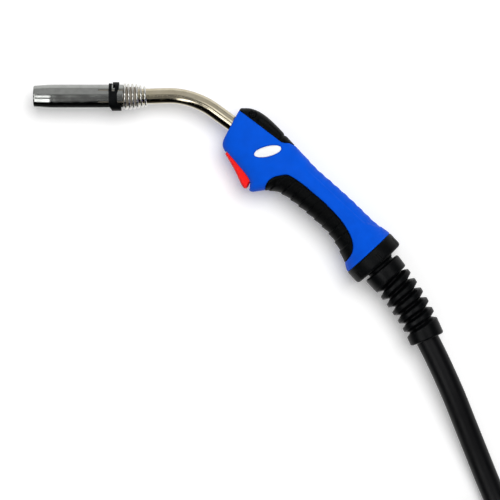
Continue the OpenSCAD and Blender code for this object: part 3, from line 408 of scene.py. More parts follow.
CAP_LINE = line_at((-0.05, -1), (0.134, 4.7), (0.246, 8.2), (0.274, 8.9), (0.289, 10.8),
                   (0.306, 14), (0.332, 15.9), (0.35, 19), (0.35, 60), (-0.05, 60))
PAD_EDGE = line_at((0.401, -31.5), (0.382, -27.1), (0.375, -22.5), (0.38, -16.9), (0.398, -11.2),
                   (0.414, -7.4), (0.441, -5), (0.51, -2.1), (0.582, -0.6), (0.649, 0.9), (0.716, 1.3),
                   (0.775, 1.2), (0.832, -0.3), (0.882, -2.9), (0.92, -7), (0.944, -12.7), (0.954, -21.1))
PAD_LINE = np.concatenate([line_at((0.401, -60)), smooth_line(PAD_EDGE, 4), line_at((0.954, -60))])
CREASE_EDGE = line_at((0.38, 1.5), (0.426, 8), (0.837, 13.8), (0.884, 16.6), (0.943, 22.1))
CREASE_LINE = np.concatenate([smooth_line(CREASE_EDGE, 6), line_at((0.97, 60), (0.38, 60))])

FACE_U, FACE_V, FACE_SLOPE = -173.2, 1.5, math.radians(19)             # the sloping front face
NECK_V = -11.6                                                         # where the neck goes in
NECK_U = FACE_U + (FACE_V - NECK_V) * math.tan(FACE_SLOPE)
NECK_RISE = math.radians(HANDLE_TILT - NECK_ANGLE)                     # its slope in the handle's axes
TRIGGER_U, TRIGGER_LEN, TRIGGER_W = at(0.1207), 36.0, 14.0             # its front end, length and width
SCREW_AT = (at(0.0695), 7.3)
SCREW_TOP = 11.8                                                       # height of the screw's head
BADGE_AT, BADGE_TURN = (at(0.262), -5.5), math.radians(HANDLE_TILT + 14)
BADGE_HALF = (12.5, 4.6)
BADGE_POWER = 2.05                                                     # a little squarer than an ellipse
BADGE_LOW = 14.4                                                       # floor of the badge's recess


def handle_form(u, v, w, wave=0.0):
    """Distance to the handle's outer form, with shallow waves along its back."""
    share = 1 + u / HANDLE_LEN
    top, low, half, square = (np.interp(share, FINE[:, 0], FINE[:, k]) for k in (1, 2, 3, 4))
    middle, height = (top - low) / 2, (top + low) / 2
    a, b = np.abs(v - middle) / height + 1e-5, np.abs(w) / half + 1e-5
    size = (a ** square + b ** square) ** (1 / square)
    ga = (a / size) ** (square - 1) / height
    gb = (b / size) ** (square - 1) / half
    d = (size - 1) / np.sqrt(ga ** 2 + gb ** 2)
    if wave:
        on_back = fade((v - middle) / height, 0.55, 0.9)
        along = fade(share, 0.41, 0.46) * (1 - fade(share, 0.9, 0.94))
        d = d + wave * on_back * along * (0.5 - 0.5 * np.cos(2 * math.pi * (u - at(0.43)) / WAVE_PITCH))
    return d


def front_of_face(u, v, inset=0.0):
    return inset - ((u - FACE_U) * math.cos(FACE_SLOPE) + (v - FACE_V) * math.sin(FACE_SLOPE))


def off_screw(u, v):
    return np.sqrt((u - SCREW_AT[0]) ** 2 + (v - SCREW_AT[1]) ** 2)


def under_cap(u, v, form, play=0.0):
    """Below the cap's plate, and outside the boss round its screw."""
    return np.minimum(-(form + CAP_WALL), off_screw(u, v) - 4.4) - play


def badge_oval(u, v, grow):
    half_a, half_b = BADGE_HALF[0] + grow, BADGE_HALF[1] + grow
    c, s = math.cos(BADGE_TURN), math.sin(BADGE_TURN)
    a = ((u - BADGE_AT[0]) * c + (v - BADGE_AT[1]) * s) / half_a
    b = (-(u - BADGE_AT[0]) * s + (v - BADGE_AT[1]) * c) / half_b
    return ((np.abs(a) ** BADGE_POWER + np.abs(b) ** BADGE_POWER) ** (1 / BADGE_POWER) - 1) * half_b


def shell_field(u, v, w):
    """The handle's shell on both sides, with all its openings but the badge's recess."""
    plain = handle_form(u, v, w)
    crease = (1 - fade(region(u, v, CREASE_LINE), -1.0, 0.5)) * fade(u, at(0.42), at(0.56))
    form = handle_form(u, v, w, wave=WAVE_HIGH) + CREASE_DEEP * crease
    d = soft_max(form, front_of_face(u, v), 2.2)
    d = soft_max(d, u + 0.05, 0.7)
    cap = np.maximum(region(u, v, CAP_LINE), under_cap(u, v, form, 0.1))
    pad = np.maximum(region(u, v, PAD_LINE), -(plain + PAD_DEEP))
    slot_end = TRIGGER_U + TRIGGER_LEN + 1.9
    slot = box_field(u, v, w, (TRIGGER_U - 0.6, -80, -7.4), (slot_end, -21, 7.4))
    across = -(u - NECK_U) * math.sin(NECK_RISE) + (v - NECK_V) * math.cos(NECK_RISE)
    along = (u - NECK_U) * math.cos(NECK_RISE) + (v - NECK_V) * math.sin(NECK_RISE)
    neck = np.maximum(np.sqrt(across ** 2 + w ** 2) - 7.3, along - 18)
    room = np.maximum(plain + WALL, np.maximum(u + 17, front_of_face(u, v, 2.8)))
    for opening, edge in ((cap, 0.5), (pad, 0.5), (slot, 0.8), (neck, 0.9), (room, 0.8)):
        d = cut_by(d, opening, edge)
    return d


def right_field(u, v, w):
    """The right shell, drawn on the left and mirrored afterwards."""
    return soft_max(shell_field(u, v, w), HALF_GAP - w, 0.35)


def left_field(u, v, w):
    """The left shell, which has the recess for the badge."""
    recess = np.maximum(badge_oval(u, v, 0.35), BADGE_LOW - w)
    return soft_max(cut_by(shell_field(u, v, w), recess, 0.5), HALF_GAP - w, 0.35)


def rib_shape(u):
    """Ribs that step up at their front and slope away behind."""
    t = np.mod((u - at(0.36)) / RIB_PITCH, 1)
    return RIB_HIGH * (1 - t) * fade(t, 0, 0.12)


def pad_field(u, v, w):
    form = handle_form(u, v, w)
    edge = region(u, v, PAD_LINE) + 0.25
    top = form - rib_shape(u) * fade(-edge, 0.2, 2.2)
    d = np.maximum(soft_max(top, edge, 0.9), -(form + PAD_DEEP - 0.1))
    return soft_max(d, HALF_GAP - w, 0.3)


def cap_field(u, v, w):
    """The cap over both shells, with a notch at its rear, a hollow on each side and sunk screw holes."""
    form = handle_form(u, v, w) - 0.05
    d = soft_max(form, front_of_face(u, v), 1.4)
    d = soft_max(d, region(u, v, CAP_LINE) + 0.2, 0.6)
    notch_u = -128.9
    d = d + 0.9 * np.exp(-((u - notch_u) / 1.1) ** 2) * fade(v, 6, 13)
    for side in (-1, 1):
        hollow = capsule_field(u, v, w, (-153, 10.4, 19.4 * side), (-134, 14.0, 18.4 * side), 7.0)
        d = cut_by(d, hollow, 0.8)
        d = cut_by(d, np.maximum(off_screw(u, v) - 3.4, 9.6 - side * w), 0.5)
    return np.maximum(d, under_cap(u, v, form))


# The trigger's outline from its pivot's end: the finger side in shares, the hidden side in millimetres.
FINGER_SIDE = [(0, 0.1), (0.19, 0.25), (0.39, 0.42), (0.56, 0.6), (0.7, 0.79), (0.82, 0.95), (0.88, 1),
               (0.94, 1.01), (0.98, 0.96), (1, 0.86), (0.995, 0.6), (0.965, 0.36)]
HIDDEN_SIDE = [(34.2, 1), (32.4, 3), (9, 3.4), (3, 7), (0, 7)]
TRIGGER_DEEP = 9.2                  # how far the finger side stands out at its rear
TRIGGER_LINE = np.array([(TRIGGER_LEN * a, -TRIGGER_DEEP * b) for a, b in FINGER_SIDE] + HIDDEN_SIDE)


def trigger_field(u, v, w):
    """A hollow lever whose finger side is crowned across, with a post under the switch."""
    u, v = u - TRIGGER_U, v + BELLY
    line = region(u, v, TRIGGER_LINE)
    boss = np.sqrt((u - 3) ** 2 + (v - 7) ** 2) - 3
    crown = 0.022 * w ** 2 * fade(-v, 0, 2)
    d = soft_max(np.minimum(line, boss) + crown, np.abs(w) - TRIGGER_W / 2, 1.5)
    floor = 0.8
    pocket = box_field(u, v, w, (8, floor, -3.8), (31, floor + 20, 3.8))
    post = box_field(u, v, w, (20.2, floor - 1, -1.8), (23.8, floor + 4.7, 1.8))
    bay = box_field(u, v, w, (8, floor + 2.5, -20), (11, floor + 20, 20))
    return cut_by(cut_by(d, np.maximum(pocket, -post), 0.3), bay, 0.3)


# ---- shapes that repeat or follow a path ----------------------------------------------


def tree(name, **sockets):
    """A geometry tree with a geometry input and output and named inputs for its sizes."""
    group = bpy.data.node_groups.new(name, "GeometryNodeTree")
    face = group.interface
    face.new_socket("Geometry", in_out="INPUT", socket_type="NodeSocketGeometry")
    for key, kind in sockets.items():
        face.new_socket(key.replace("_", " "), in_out="INPUT", socket_type="NodeSocket" + kind)
    face.new_socket("Geometry", in_out="OUTPUT", socket_type="NodeSocketGeometry")
    return group


def add(group, kind, inputs=(), **settings):
    """A node with its settings; an input is a value, an output, or a node for its first output."""
    node = group.nodes.new(kind)
    for key, value in settings.items():
        setattr(node, key, value)
    for key, value in dict(inputs).items():
        if isinstance(value, bpy.types.Node):
            value = value.outputs[0]
        if isinstance(value, bpy.types.NodeSocket):
            group.links.new(value, node.inputs[key])
        else:
            node.inputs[key].default_value = value
    return node


def ended(group, geometry, material):
    """The end of every tree: real geometry with its material."""
    real = add(group, "GeometryNodeRealizeInstances", {"Geometry": geometry})
    done = add(group, "GeometryNodeSetMaterial", {"Geometry": real, "Material": material})
    add(group, "NodeGroupOutput", {"Geometry": done})
    return group


def wire_tree():
    """Round wire that follows a line of edges."""
    group = tree("Wound wire", Wire_radius="Float", Sides="Int", Material="Material")
    start = add(group, "NodeGroupInput").outputs
    line = add(group, "GeometryNodeMeshToCurve", {"Mesh": start["Geometry"]})
    ring = add(group, "GeometryNodeCurvePrimitiveCircle",
               {"Radius": start["Wire radius"], "Resolution": start["Sides"]})
    wire = add(group, "GeometryNodeCurveToMesh", {"Curve": line, "Profile Curve": ring, "Fill Caps": True})
    return ended(group, wire, start["Material"])


def cut_tree():
    """Equal cuts round an axis, all made with one cutter."""
    group = tree("Cuts round an axis", Cutter="Object", Count="Int", First_angle="Float", Step_angle="Float",
                 Material="Material")
    start = add(group, "NodeGroupInput").outputs
    cutter = add(group, "GeometryNodeObjectInfo", {"Object": start["Cutter"]}).outputs["Geometry"]
    points = add(group, "GeometryNodePoints", {"Count": start["Count"]})
    index = add(group, "GeometryNodeInputIndex")
    angle = add(group, "ShaderNodeMath", {0: index, 1: start["Step angle"], 2: start["First angle"]},
                operation="MULTIPLY_ADD")
    turn = add(group, "ShaderNodeCombineXYZ", {"X": angle})
    ring = add(group, "GeometryNodeInstanceOnPoints",
               {"Points": points, "Instance": cutter, "Rotation": turn})
    cutters = add(group, "GeometryNodeRealizeInstances", {"Geometry": ring})
    cut = add(group, "GeometryNodeMeshBoolean", {"Mesh 1": start["Geometry"], "Mesh 2": cutters},
              operation="DIFFERENCE", solver="EXACT")
    return ended(group, cut, start["Material"])


def rib_tree():
    """Equal rings along a boot: each is the rib set further along and made wider or narrower."""
    group = tree("Ribs along a boot", Rib="Object", Count="Int", First_place="Float", Pitch="Float",
                 First_width="Float", Width_growth="Float", Material="Material")
    start = add(group, "NodeGroupInput").outputs
    rib = add(group, "GeometryNodeObjectInfo", {"Object": start["Rib"]}).outputs["Geometry"]
    index = add(group, "GeometryNodeInputIndex")
    along = add(group, "ShaderNodeMath", {0: index, 1: start["Pitch"], 2: start["First place"]},
                operation="MULTIPLY_ADD")
    width = add(group, "ShaderNodeMath", {0: index, 1: start["Width growth"], 2: start["First width"]},
                operation="MULTIPLY_ADD")
    spot = add(group, "ShaderNodeCombineXYZ", {"X": along})
    size = add(group, "ShaderNodeCombineXYZ", {"X": 1.0, "Y": width, "Z": width})
    points = add(group, "GeometryNodePoints", {"Count": start["Count"], "Position": spot})
    ribs = add(group, "GeometryNodeInstanceOnPoints", {"Points": points, "Instance": rib, "Scale": size})
    real = add(group, "GeometryNodeRealizeInstances", {"Geometry": ribs})
    both = add(group, "GeometryNodeJoinGeometry")
    for part in (start["Geometry"], real.outputs[0]):
        group.links.new(part, both.inputs[0])
    return ended(group, both, start["Material"])


def tool(name, form):
    """A shape that only a tree uses, in millimetres; formed() removes it."""
    mesh = mesh_of(name, *form)
    clean(mesh, 1e-6)
    return shown(name, mesh)


def formed(name, form, axes, make_tree, edges=(), **values):
    """A form with a geometry tree run over it, as a plain mesh in its place."""
    obj = shown(name, mesh_of(name, *form, edges))
    group = make_tree()
    modifier = obj.modifiers.new("Form", "NODES")
    modifier.node_group = group
    for item in group.interface.items_tree:
        key = item.name.replace(" ", "_")
        if item.in_out == "INPUT" and key in values:
            modifier[item.identifier] = values[key]
    seen = obj.evaluated_get(bpy.context.evaluated_depsgraph_get())
    plain, first = bpy.data.meshes.new_from_object(seen), obj.data
    plain.transform(axes @ Matrix.Scale(MM, 4))
    obj.modifiers.clear()
    obj.data = plain
    bpy.data.meshes.remove(first)
    for value in values.values():
        if isinstance(value, bpy.types.Object):
            bpy.data.objects.remove(value)
    return obj


def notched(name, form, axes, cutter, count, first_angle, material):
    """A form with equal cuts all the way round its x axis."""
    return formed(name, form, axes, cut_tree, Cutter=cutter, Count=count, First_angle=first_angle,
                  Step_angle=2 * math.pi / count, Material=material)


def wound(name, path, axes, radius, sides, material):
    """Round wire along a path."""
    edges = [(i, i + 1) for i in range(len(path) - 1)]
    return formed(name, (path, []), axes, wire_tree, edges,
                  Wire_radius=radius, Sides=sides, Material=material)


# ---- how a finish is made ------------------------------------------------------------


def linear(code):
    """A colour written as #rrggbb, as the linear numbers that shaders take."""
    parts = [int(code[i:i + 2], 16) / 255 for i in (1, 3, 5)]
    return tuple(p / 12.92 if p <= 0.04045 else ((p + 0.055) / 1.055) ** 2.4 for p in parts) + (1.0,)


def plain_finish(name, colour, rough, metal=0.0, **sockets):
    """A material with its nodes, its shader and the object's own coordinates in millimetres."""
    material = bpy.data.materials.new(name)
    material.use_nodes = True
    material.diffuse_color = linear(colour)
    nodes = material.node_tree
    nodes.nodes.clear()
    shader = add(nodes, "ShaderNodeBsdfPrincipled",
                 {"Base Color": linear(colour), "Roughness": rough, "Metallic": metal, **sockets})
    add(nodes, "ShaderNodeOutputMaterial", {"Surface": shader})
    where = add(nodes, "ShaderNodeTexCoord").outputs["Object"]
    mm = add(nodes, "ShaderNodeVectorMath", {0: where, "Scale": 1 / MM}, operation="SCALE")
    return material, nodes, shader, mm


def drifting(nodes, shader, gloss, rough_range, shade, colours):
    """Roughness and colour that drift between two limits, each with a noise."""
    middle = {"From Min": 0.35, "From Max": 0.65}       # most of a noise's values lie here
    low, high = rough_range
    rough = add(nodes, "ShaderNodeMapRange", {"Value": gloss, "To Min": low, "To Max": high, **middle})
    share = add(nodes, "ShaderNodeMapRange", {"Value": shade, "To Min": 0.0, "To Max": 1.0, **middle})
    colour, other = (linear(code) for code in colours)
    mix = add(nodes, "ShaderNodeMix", {0: share, 6: colour, 7: other}, data_type="RGBA")
    nodes.links.new(rough.outputs[0], shader.inputs["Roughness"])
    nodes.links.new(mix.outputs[2], shader.inputs["Base Color"])


def embossed(nodes, shader, *patterns):
    """Patterns with their heights in millimetres, one bump node each."""
    last = None
    for pattern, height in patterns:
        inputs = {"Height": pattern, "Strength": 1.0, "Distance": height * MM}
        if last:
            inputs["Normal"] = last
        last = add(nodes, "ShaderNodeBump", inputs)
    nodes.links.new(last.outputs[0], shader.inputs["Normal"])


def moulded(name, colour, other, rough, grain_mm, grain_high, shine=0.5, **sockets):
    """Moulded or extruded stuff: a fine grain, slow waves of gloss and a faint drift of shade."""
    # A spark-eroded mould's grain is about 0.1 mm wide, drawn here two to five times as coarse, to show.
    sockets["Specular IOR Level"] = shine
    material, nodes, shader, mm = plain_finish(name, colour, rough, **sockets)
    grain, waves, shade = (
        add(nodes, "ShaderNodeTexNoise", {"Vector": mm, "Scale": 1 / size, "Detail": detail})
        for size, detail in ((grain_mm, 3.0), (22.0, 2.0), (9.0, 4.0)))
    drifting(nodes, shader, waves, (rough - 0.04, rough + 0.05), shade, (colour, other))
    embossed(nodes, shader, (grain, grain_high), (waves, 0.15))
    return material


def turned(name, colour, other, rough, line_mm, line_high, axis="X"):
    """Turned or drawn metal: fine lines round the axis and patches of duller skin."""
    # A finishing tool leaves lines about 0.05 mm apart, drawn here two to eight times as coarse, to show.
    material, nodes, shader, mm = plain_finish(name, colour, rough, metal=1.0)
    across, along = 0.05, 1 / line_mm
    scale = (along, across, across) if axis == "X" else (across, across, along)
    stretched = add(nodes, "ShaderNodeVectorMath", {0: mm, 1: scale}, operation="MULTIPLY")
    lines, patches, dents = (
        add(nodes, "ShaderNodeTexNoise", {"Vector": where, "Scale": 1 / size, "Detail": detail})
        for where, size, detail in ((stretched, 1.0, 2.0), (mm, 6.0, 5.0), (mm, 14.0, 2.0)))
    drifting(nodes, shader, patches, (rough - 0.03, rough + 0.06), patches, (colour, other))
    embossed(nodes, shader, (lines, line_high), (dents, 0.05))
    return material


# ---- the torch's finishes ---------------------------------------------------------------
# A shine under 0.5 stands for a skin of micro-pits, which mirrors less than the smooth stuff would.

finishes = {}                       # the ones that several steps share


def cable_jacket(colour):
    # Extruded rubber, dulled by handling: near black, with one broad soft streak along its top.
    return moulded("extruded jacket rubber", colour, "#060608", 0.43, 0.5, 0.012, shine=0.2)


def shell_plastic(colour):
    # Glass-filled nylon from a spark-eroded mould: a deep even blue that hardly mirrors anything.
    return moulded("moulded blue nylon", colour, "#0056dc", 0.5, 0.32, 0.009, shine=0.08)


def grip_rubber(colour):
    # Soft overmoulded rubber: the dullest black of the handle, where only the ribs' edges show.
    return moulded("overmoulded grip rubber", colour, "#060708", 0.5, 0.4, 0.02, shine=0.08)


def black_plastic(colour):
    # The same nylon in black, a little glossier: soft grey light on the edges that face up.
    return moulded("moulded black nylon", colour, "#080a0b", 0.42, 0.3, 0.008, shine=0.1)


def guard_rubber(colour):
    # Moulded with a satin skin: each coil of the guard carries a thin soft line of light.
    return moulded("moulded satin rubber", colour, "#070809", 0.36, 0.45, 0.012, shine=0.13)


def badge_enamel(colour):
    # Fired enamel under its clear glaze: pure white with a small sharp glint. In place of a grain it has
    # the slow waves of a fired skin.
    coat = {"Coat Weight": 0.6, "Coat Roughness": 0.08}
    return moulded("fired white enamel", colour, "#fcfdfc", 0.2, 1.5, 0.003, **coat)


def trigger_plastic(colour):
    # Moulded and worn smooth by the finger: a clear signal red with a satin light on its crown.
    return moulded("moulded red nylon", colour, "#fa1a14", 0.4, 0.35, 0.006, shine=0.3)


def phenolic():
    # Pressed resin and fibre: brown-black and matt.
    return moulded("pressed phenolic", "#1a1716", "#241f1c", 0.5, 0.5, 0.01)


def switch_casing():
    # Small thermoset casing: dark grey, one shade lighter than the parts round it.
    return moulded("moulded switch casing", "#26272a", "#2c2d30", 0.45, 0.3, 0.006)


def switch_button():
    # Acetal, moulded smooth: brick red with a waxy gloss.
    return moulded("moulded acetal button", "#c4513a", "#ba4a34", 0.4, 0.3, 0.004)


def seat_insulation():
    # Glass fibre in a pale resin, moulded and dusted by spatter: a warm grey behind the spring.
    return moulded("glass-filled insulation", "#958d80", "#8b8376", 0.35, 0.5, 0.01)


def ceramic():
    # Pressed and fired without a glaze: cream white and chalky.
    return moulded("fired ceramic", "#e6e0d2", "#ddd5c4", 0.6, 0.25, 0.006)


def screw_steel():
    # Blackened in oil: almost as dark as the cap, with a dull metal light on its rim.
    return turned("oil-blackened steel", "#1b1c1e", "#141516", 0.42, 0.12, 0.004, axis="Z")


def neck_plating():
    # Nickel over polished brass: a warm mirror with long bright and dark bands along the bend.
    return turned("polished nickel plating", "#ddd4bc", "#d4cab0", 0.1, 0.25, 0.0006)


def nozzle_plating(colour):
    # Nickel over turned copper: a cooler grey mirror that the turning lines blur a little.
    return turned("satin nickel plating", colour, "#a9aba8", 0.12, 0.18, 0.0012)


def spring_wire():
    # Drawn and tinned: almost white, so the coils stand out against all that is behind them.
    return turned("bright drawn wire", "#efeee8", "#e6e5de", 0.16, 0.4, 0.0008)


def copper():
    # Drawn rod with a turned tip: salmon red, and brighter than the parts round it.
    return turned("drawn copper", "#c9764a", "#b96a42", 0.25, 0.2, 0.002)


def turned_brass():
    # Off the lathe and dulled by the warmth inside the handle: soft yellow.
    return turned("turned brass", "#d2a85a", "#c79a4b", 0.28, 0.16, 0.003)


def connector_brass(colour):
    # The same brass, kept bright by plugging it in: clear yellow rings of light.
    return turned("bright turned brass", colour, "#c99d4f", 0.24, 0.16, 0.003)


# ---- the free cable's route ---------------------------------------------------------

CABLE_OUT, CABLE_EXIT = -67.3, np.array([170.157, -112.786, 25.9])    # heading and place at the guard's end
CABLE_LIFT = 4                      # the cable leaves this much less steeply than the guard, in degrees
COIL_AT, COIL_R = (152, -410), 134
COIL_PITCH = 22                     # the coil's radius shrinks by this much a turn, and grows again
COIL_RISE = 21.8                    # its outward turns lie this much higher
COIL_IN = -67                       # heading where the cable enters it, in degrees
COIL_TURNS = 3 + (COIL_IN + 180) / 360
FLOOR_Z = 10.7                      # height of the cable's middle on the floor


def coil_point(t):
    angle = math.radians(COIL_IN + 90 - 360 * COIL_TURNS * t)
    r = COIL_R - COIL_PITCH * COIL_TURNS * min(t, 1 - t)
    climb = min(max(((t - 0.5) * COIL_TURNS * 360 + 90) / 180, 0), 1)
    height = FLOOR_Z + COIL_RISE * climb ** 2 * (3 - 2 * climb)
    return np.array([COIL_AT[0] + r * math.cos(angle), COIL_AT[1] + r * math.sin(angle), height])


def cable_route():
    """Out of the guard, down to the floor, three turns and a bit, and up to the connector."""
    coil = [coil_point(t) for t in np.linspace(0, 1, 441)]
    lead, back = coil[0] - 20 * heading(COIL_IN), 20 * heading(COIL_IN)
    run = smooth_line([CABLE_EXIT, CABLE_EXIT + 20 * heading(CABLE_OUT + CABLE_LIFT), (193, -161, 23.6),
                       (204, -188, 19.5), (215, -215, 15), (226, -242, 11.9), (238, -270, 10.9),
                       (250, -298, FLOOR_Z), lead - back, lead, coil[0]], 5)
    end = coil[-1] - (20, 0, 0)
    tail = smooth_line([end, end - (12, 0, 0), (102, -544, 29.5), (85, -544, 27), (75, -544, 26),
                        (60, -544, 26)], 4)
    return np.concatenate([run[:-1], coil, tail])


# ---- what a user may change -------------------------------------------------------------


def colour_of(rgb):
    """A colour property as #rrggbb."""
    return "#" + "".join("%02x" % round(255 * c) for c in rgb)


def colour(name, code, words):
    rgb = tuple(int(code[i:i + 2], 16) / 255 for i in (1, 3, 5))
    return bpy.props.FloatVectorProperty(name=name, description=words, default=rgb, size=3, min=0, max=1,
                                         subtype="COLOR_GAMMA")


def length(name, metres, words, low, high):
    return bpy.props.FloatProperty(name=name, description=words, default=metres, min=low, max=high,
                                   unit="LENGTH", subtype="DISTANCE", precision=5)


def count(name, number, words, low, high):
    return bpy.props.IntProperty(name=name, description=words, default=number, min=low, max=high)


def strength(name, number, words, high):
    return bpy.props.FloatProperty(name=name, description=words, default=number, min=0, max=high, unit="NONE")


class CableSettings(bpy.types.PropertyGroup):
    diameter: length("Diameter", 0.021, "Outside diameter of the cable", 0.018, 0.0214)
    sides: count("Sides", 32, "Flats round the cable", 12, 64)
    jacket: colour("Jacket", "#050507", "Colour of the rubber jacket")


class HandleSettings(bpy.types.PropertyGroup):
    shell: colour("Shells", "#0052d4", "Colour of the moulded shells")
    grips: colour("Grips", "#030404", "Colour of the let-in grip pads")
    cap: colour("Cap", "#050607", "Colour of the cap over the neck")
    trigger: colour("Trigger", "#ff1410", "Colour of the trigger")
    badge: colour("Badge", "#ffffff", "Colour of the oval badge")
    step: length("Mesh step", 0.00075, "Spacing of the net that moulded forms are drawn with", 0.0005, 0.002)


class NozzleSettings(bpy.types.PropertyGroup):
    diameter: length("Diameter", 0.0216, "Outside diameter of the gas nozzle", 0.02, 0.024)
    slots: count("Slots", 6, "Slots in the rear of the nozzle", 4, 8)
    wire: length("Spring wire", 0.002, "Diameter of the nozzle spring's wire", 0.0014, 0.0022)
    plating: colour("Plating", "#b2b4b1", "Colour of the plated metal")


class GuardSettings(bpy.types.PropertyGroup):
    pitch: length("Pitch", 0.0094, "Distance from coil to coil of the bend guard", 0.009, 0.0105)
    notches: count("Notch pairs", 6, "Pairs of notches round the cable nut", 3, 8)
    rubber: colour("Rubber", "#040506", "Colour of the guard's rubber")


class ConnectorSettings(bpy.types.PropertyGroup):
    ribs: count("Ribs", 6, "Ribs of the connector's bend guard", 3, 9)
    scallops: count("Scallops", 12, "Finger hollows round the hand nut", 8, 16)
    brass: colour("Brass", "#d2a85a", "Colour of the brass body and pins")


class StageSettings(bpy.types.PropertyGroup):
    key: strength("Key light", 1.85, "Strength of the wide soft lamp", 6)
    fill: strength("Fill light", 0.45, "Strength of the light from all round", 2)
    floor: colour("Floor", "#ffffff", "Colour of the floor")


class Step:
    """One step of the build"""

    bl_options = {"REGISTER", "UNDO"}


# ---- the steps -------------------------------------------------------------------------------


class TORCH_OT_camera(Step, bpy.types.Operator):
    """Stand the camera straight above the torch"""

    bl_idname = "torch.camera"
    bl_label = "Camera"

    def execute(self, context):
        lens = bpy.data.cameras.new("camera")
        lens.lens, lens.sensor_width, lens.sensor_fit = 240.0, 36.0, "HORIZONTAL"
        lens.clip_start, lens.clip_end = 0.01, 20.0
        camera = shown("camera", lens)
        camera.location = (0.01055, -0.03246, MID + 3.0)
        context.scene.camera = camera
        return {"FINISHED"}


class TORCH_OT_cable(Step, bpy.types.Operator):
    """Lay the free cable along the floor and wind what is left of it into a coil"""

    bl_idname = "torch.cable"
    bl_label = "Cable"

    def execute(self, context):
        settings = context.scene.torch_cable
        jacket = cable_jacket(colour_of(settings.jacket))
        form = tube(cable_route(), settings.diameter / MM / 2, settings.sides)
        piece("cable", form, Matrix(), jacket, "cable", "cable_run", "cable_coil", "cable_tail", sharp=60)
        kept(jacket, "guard_cable", "handle_cable", "switch_leads")
        return {"FINISHED"}


class TORCH_OT_shells(Step, bpy.types.Operator):
    """Form the two moulded shells of the handle"""

    bl_idname = "torch.shells"
    bl_label = "Shells"

    def execute(self, context):
        settings = context.scene.torch_handle
        blue = shell_plastic(colour_of(settings.shell))
        net = (-177, -42, -1.2), (1.2, 27, 26.5), (settings.step / MM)
        piece("shell_left", surface(left_field, *net), HANDLE, blue, "torch", "left_shell", sharp=50)
        verts, faces = surface(right_field, *net)
        right = verts * OTHER_SIDE, faces
        piece("shell_right", right, HANDLE, blue, "torch", "right_shell", sharp=50)
        return {"FINISHED"}


class TORCH_OT_grips(Step, bpy.types.Operator):
    """Form the ribbed grip pads that are let into the shells"""

    bl_idname = "torch.grips"
    bl_label = "Grip pads"

    def execute(self, context):
        settings = context.scene.torch_handle
        rubber = grip_rubber(colour_of(settings.grips))
        step = 0.93 * settings.step / MM
        verts, faces = surface(pad_field, (-111, -43, -1.2), (-6, 3.5, 24.5), step)
        piece("grip_left", (verts, faces), HANDLE, rubber, "torch", "left_grip", sharp=50)
        piece("grip_right", (verts * OTHER_SIDE, faces), HANDLE, rubber, "torch", "right_grip", sharp=50)
        return {"FINISHED"}


class TORCH_OT_cap(Step, bpy.types.Operator):
    """Form the cap over the neck and its screw"""

    bl_idname = "torch.cap"
    bl_label = "Cap and screw"

    def execute(self, context):
        black = finishes["plastic"] = black_plastic(colour_of(context.scene.torch_handle.cap))
        cap = surface(cap_field, (-177, -5, -17.6), (-109, 19, 17.6), 0.65)
        piece("cap", cap, HANDLE, black, "torch", "top_cap", sharp=50)
        steel = finishes["steel"] = screw_steel()
        head = [(0, 9.7), (3.1, 9.7), (3.1, SCREW_TOP), (1.45, SCREW_TOP), (1.45, 10.4), (0, 10.4)]
        head = rounded(head, 0.3, closed=False)
        shank = [(0, -8.8), (1.5, -8.8), (1.5, 9.8), (0, 9.8)]
        points, faces = joined(lathe(head, 48, closed=False), lathe(shank, 24, closed=False))
        upright = points[:, [1, 2, 0]] + (*SCREW_AT, 0)
        piece("cap_screw_turned", (upright, faces), HANDLE, steel, "torch", "cap_screw")
        return {"FINISHED"}


class TORCH_OT_badge(Step, bpy.types.Operator):
    """Set the bare oval badge into its recess"""

    bl_idname = "torch.badge"
    bl_label = "Badge"

    def execute(self, context):
        white = badge_enamel(colour_of(context.scene.torch_handle.badge))
        face = [(11.6, 3.8, 14.7)]
        for k in (1, 0.985, 0.94, 0.85, 0.7, 0.5, 0.3, 0.12):
            face.append((11.6 * k, 3.8 * k, 15.35 + 0.32 * (1 - k ** 2)))
        dome = skinned([self.oval(*row) for row in face])
        piece("badge_face", dome, HANDLE, white, "torch", "badge", sharp=60)
        edge = [(11.55, 3.75, 14.65), (12.45, 4.55, 14.65), (12.45, 4.55, 15.3), (12.33, 4.43, 15.6),
                (12.05, 4.17, 15.66), (11.8, 3.95, 15.55), (11.62, 3.8, 15.25)]
        rim = skinned([self.oval(*row) for row in edge], looped=True)
        piece("badge_rim", rim, HANDLE, white, "torch", sharp=60)
        return {"FINISHED"}

    def oval(self, a, b, height, steps=128):
        """A ring of the badge with its two half sizes."""
        t = np.arange(steps) * 2 * math.pi / steps
        c, s = np.cos(t), np.sin(t)
        x = a * np.sign(c) * np.abs(c) ** (2 / BADGE_POWER)
        y = b * np.sign(s) * np.abs(s) ** (2 / BADGE_POWER)
        cos, sin = math.cos(BADGE_TURN), math.sin(BADGE_TURN)
        u, v = BADGE_AT[0] + x * cos - y * sin, BADGE_AT[1] + x * sin + y * cos
        return np.column_stack([u, v, np.full(steps, height)])


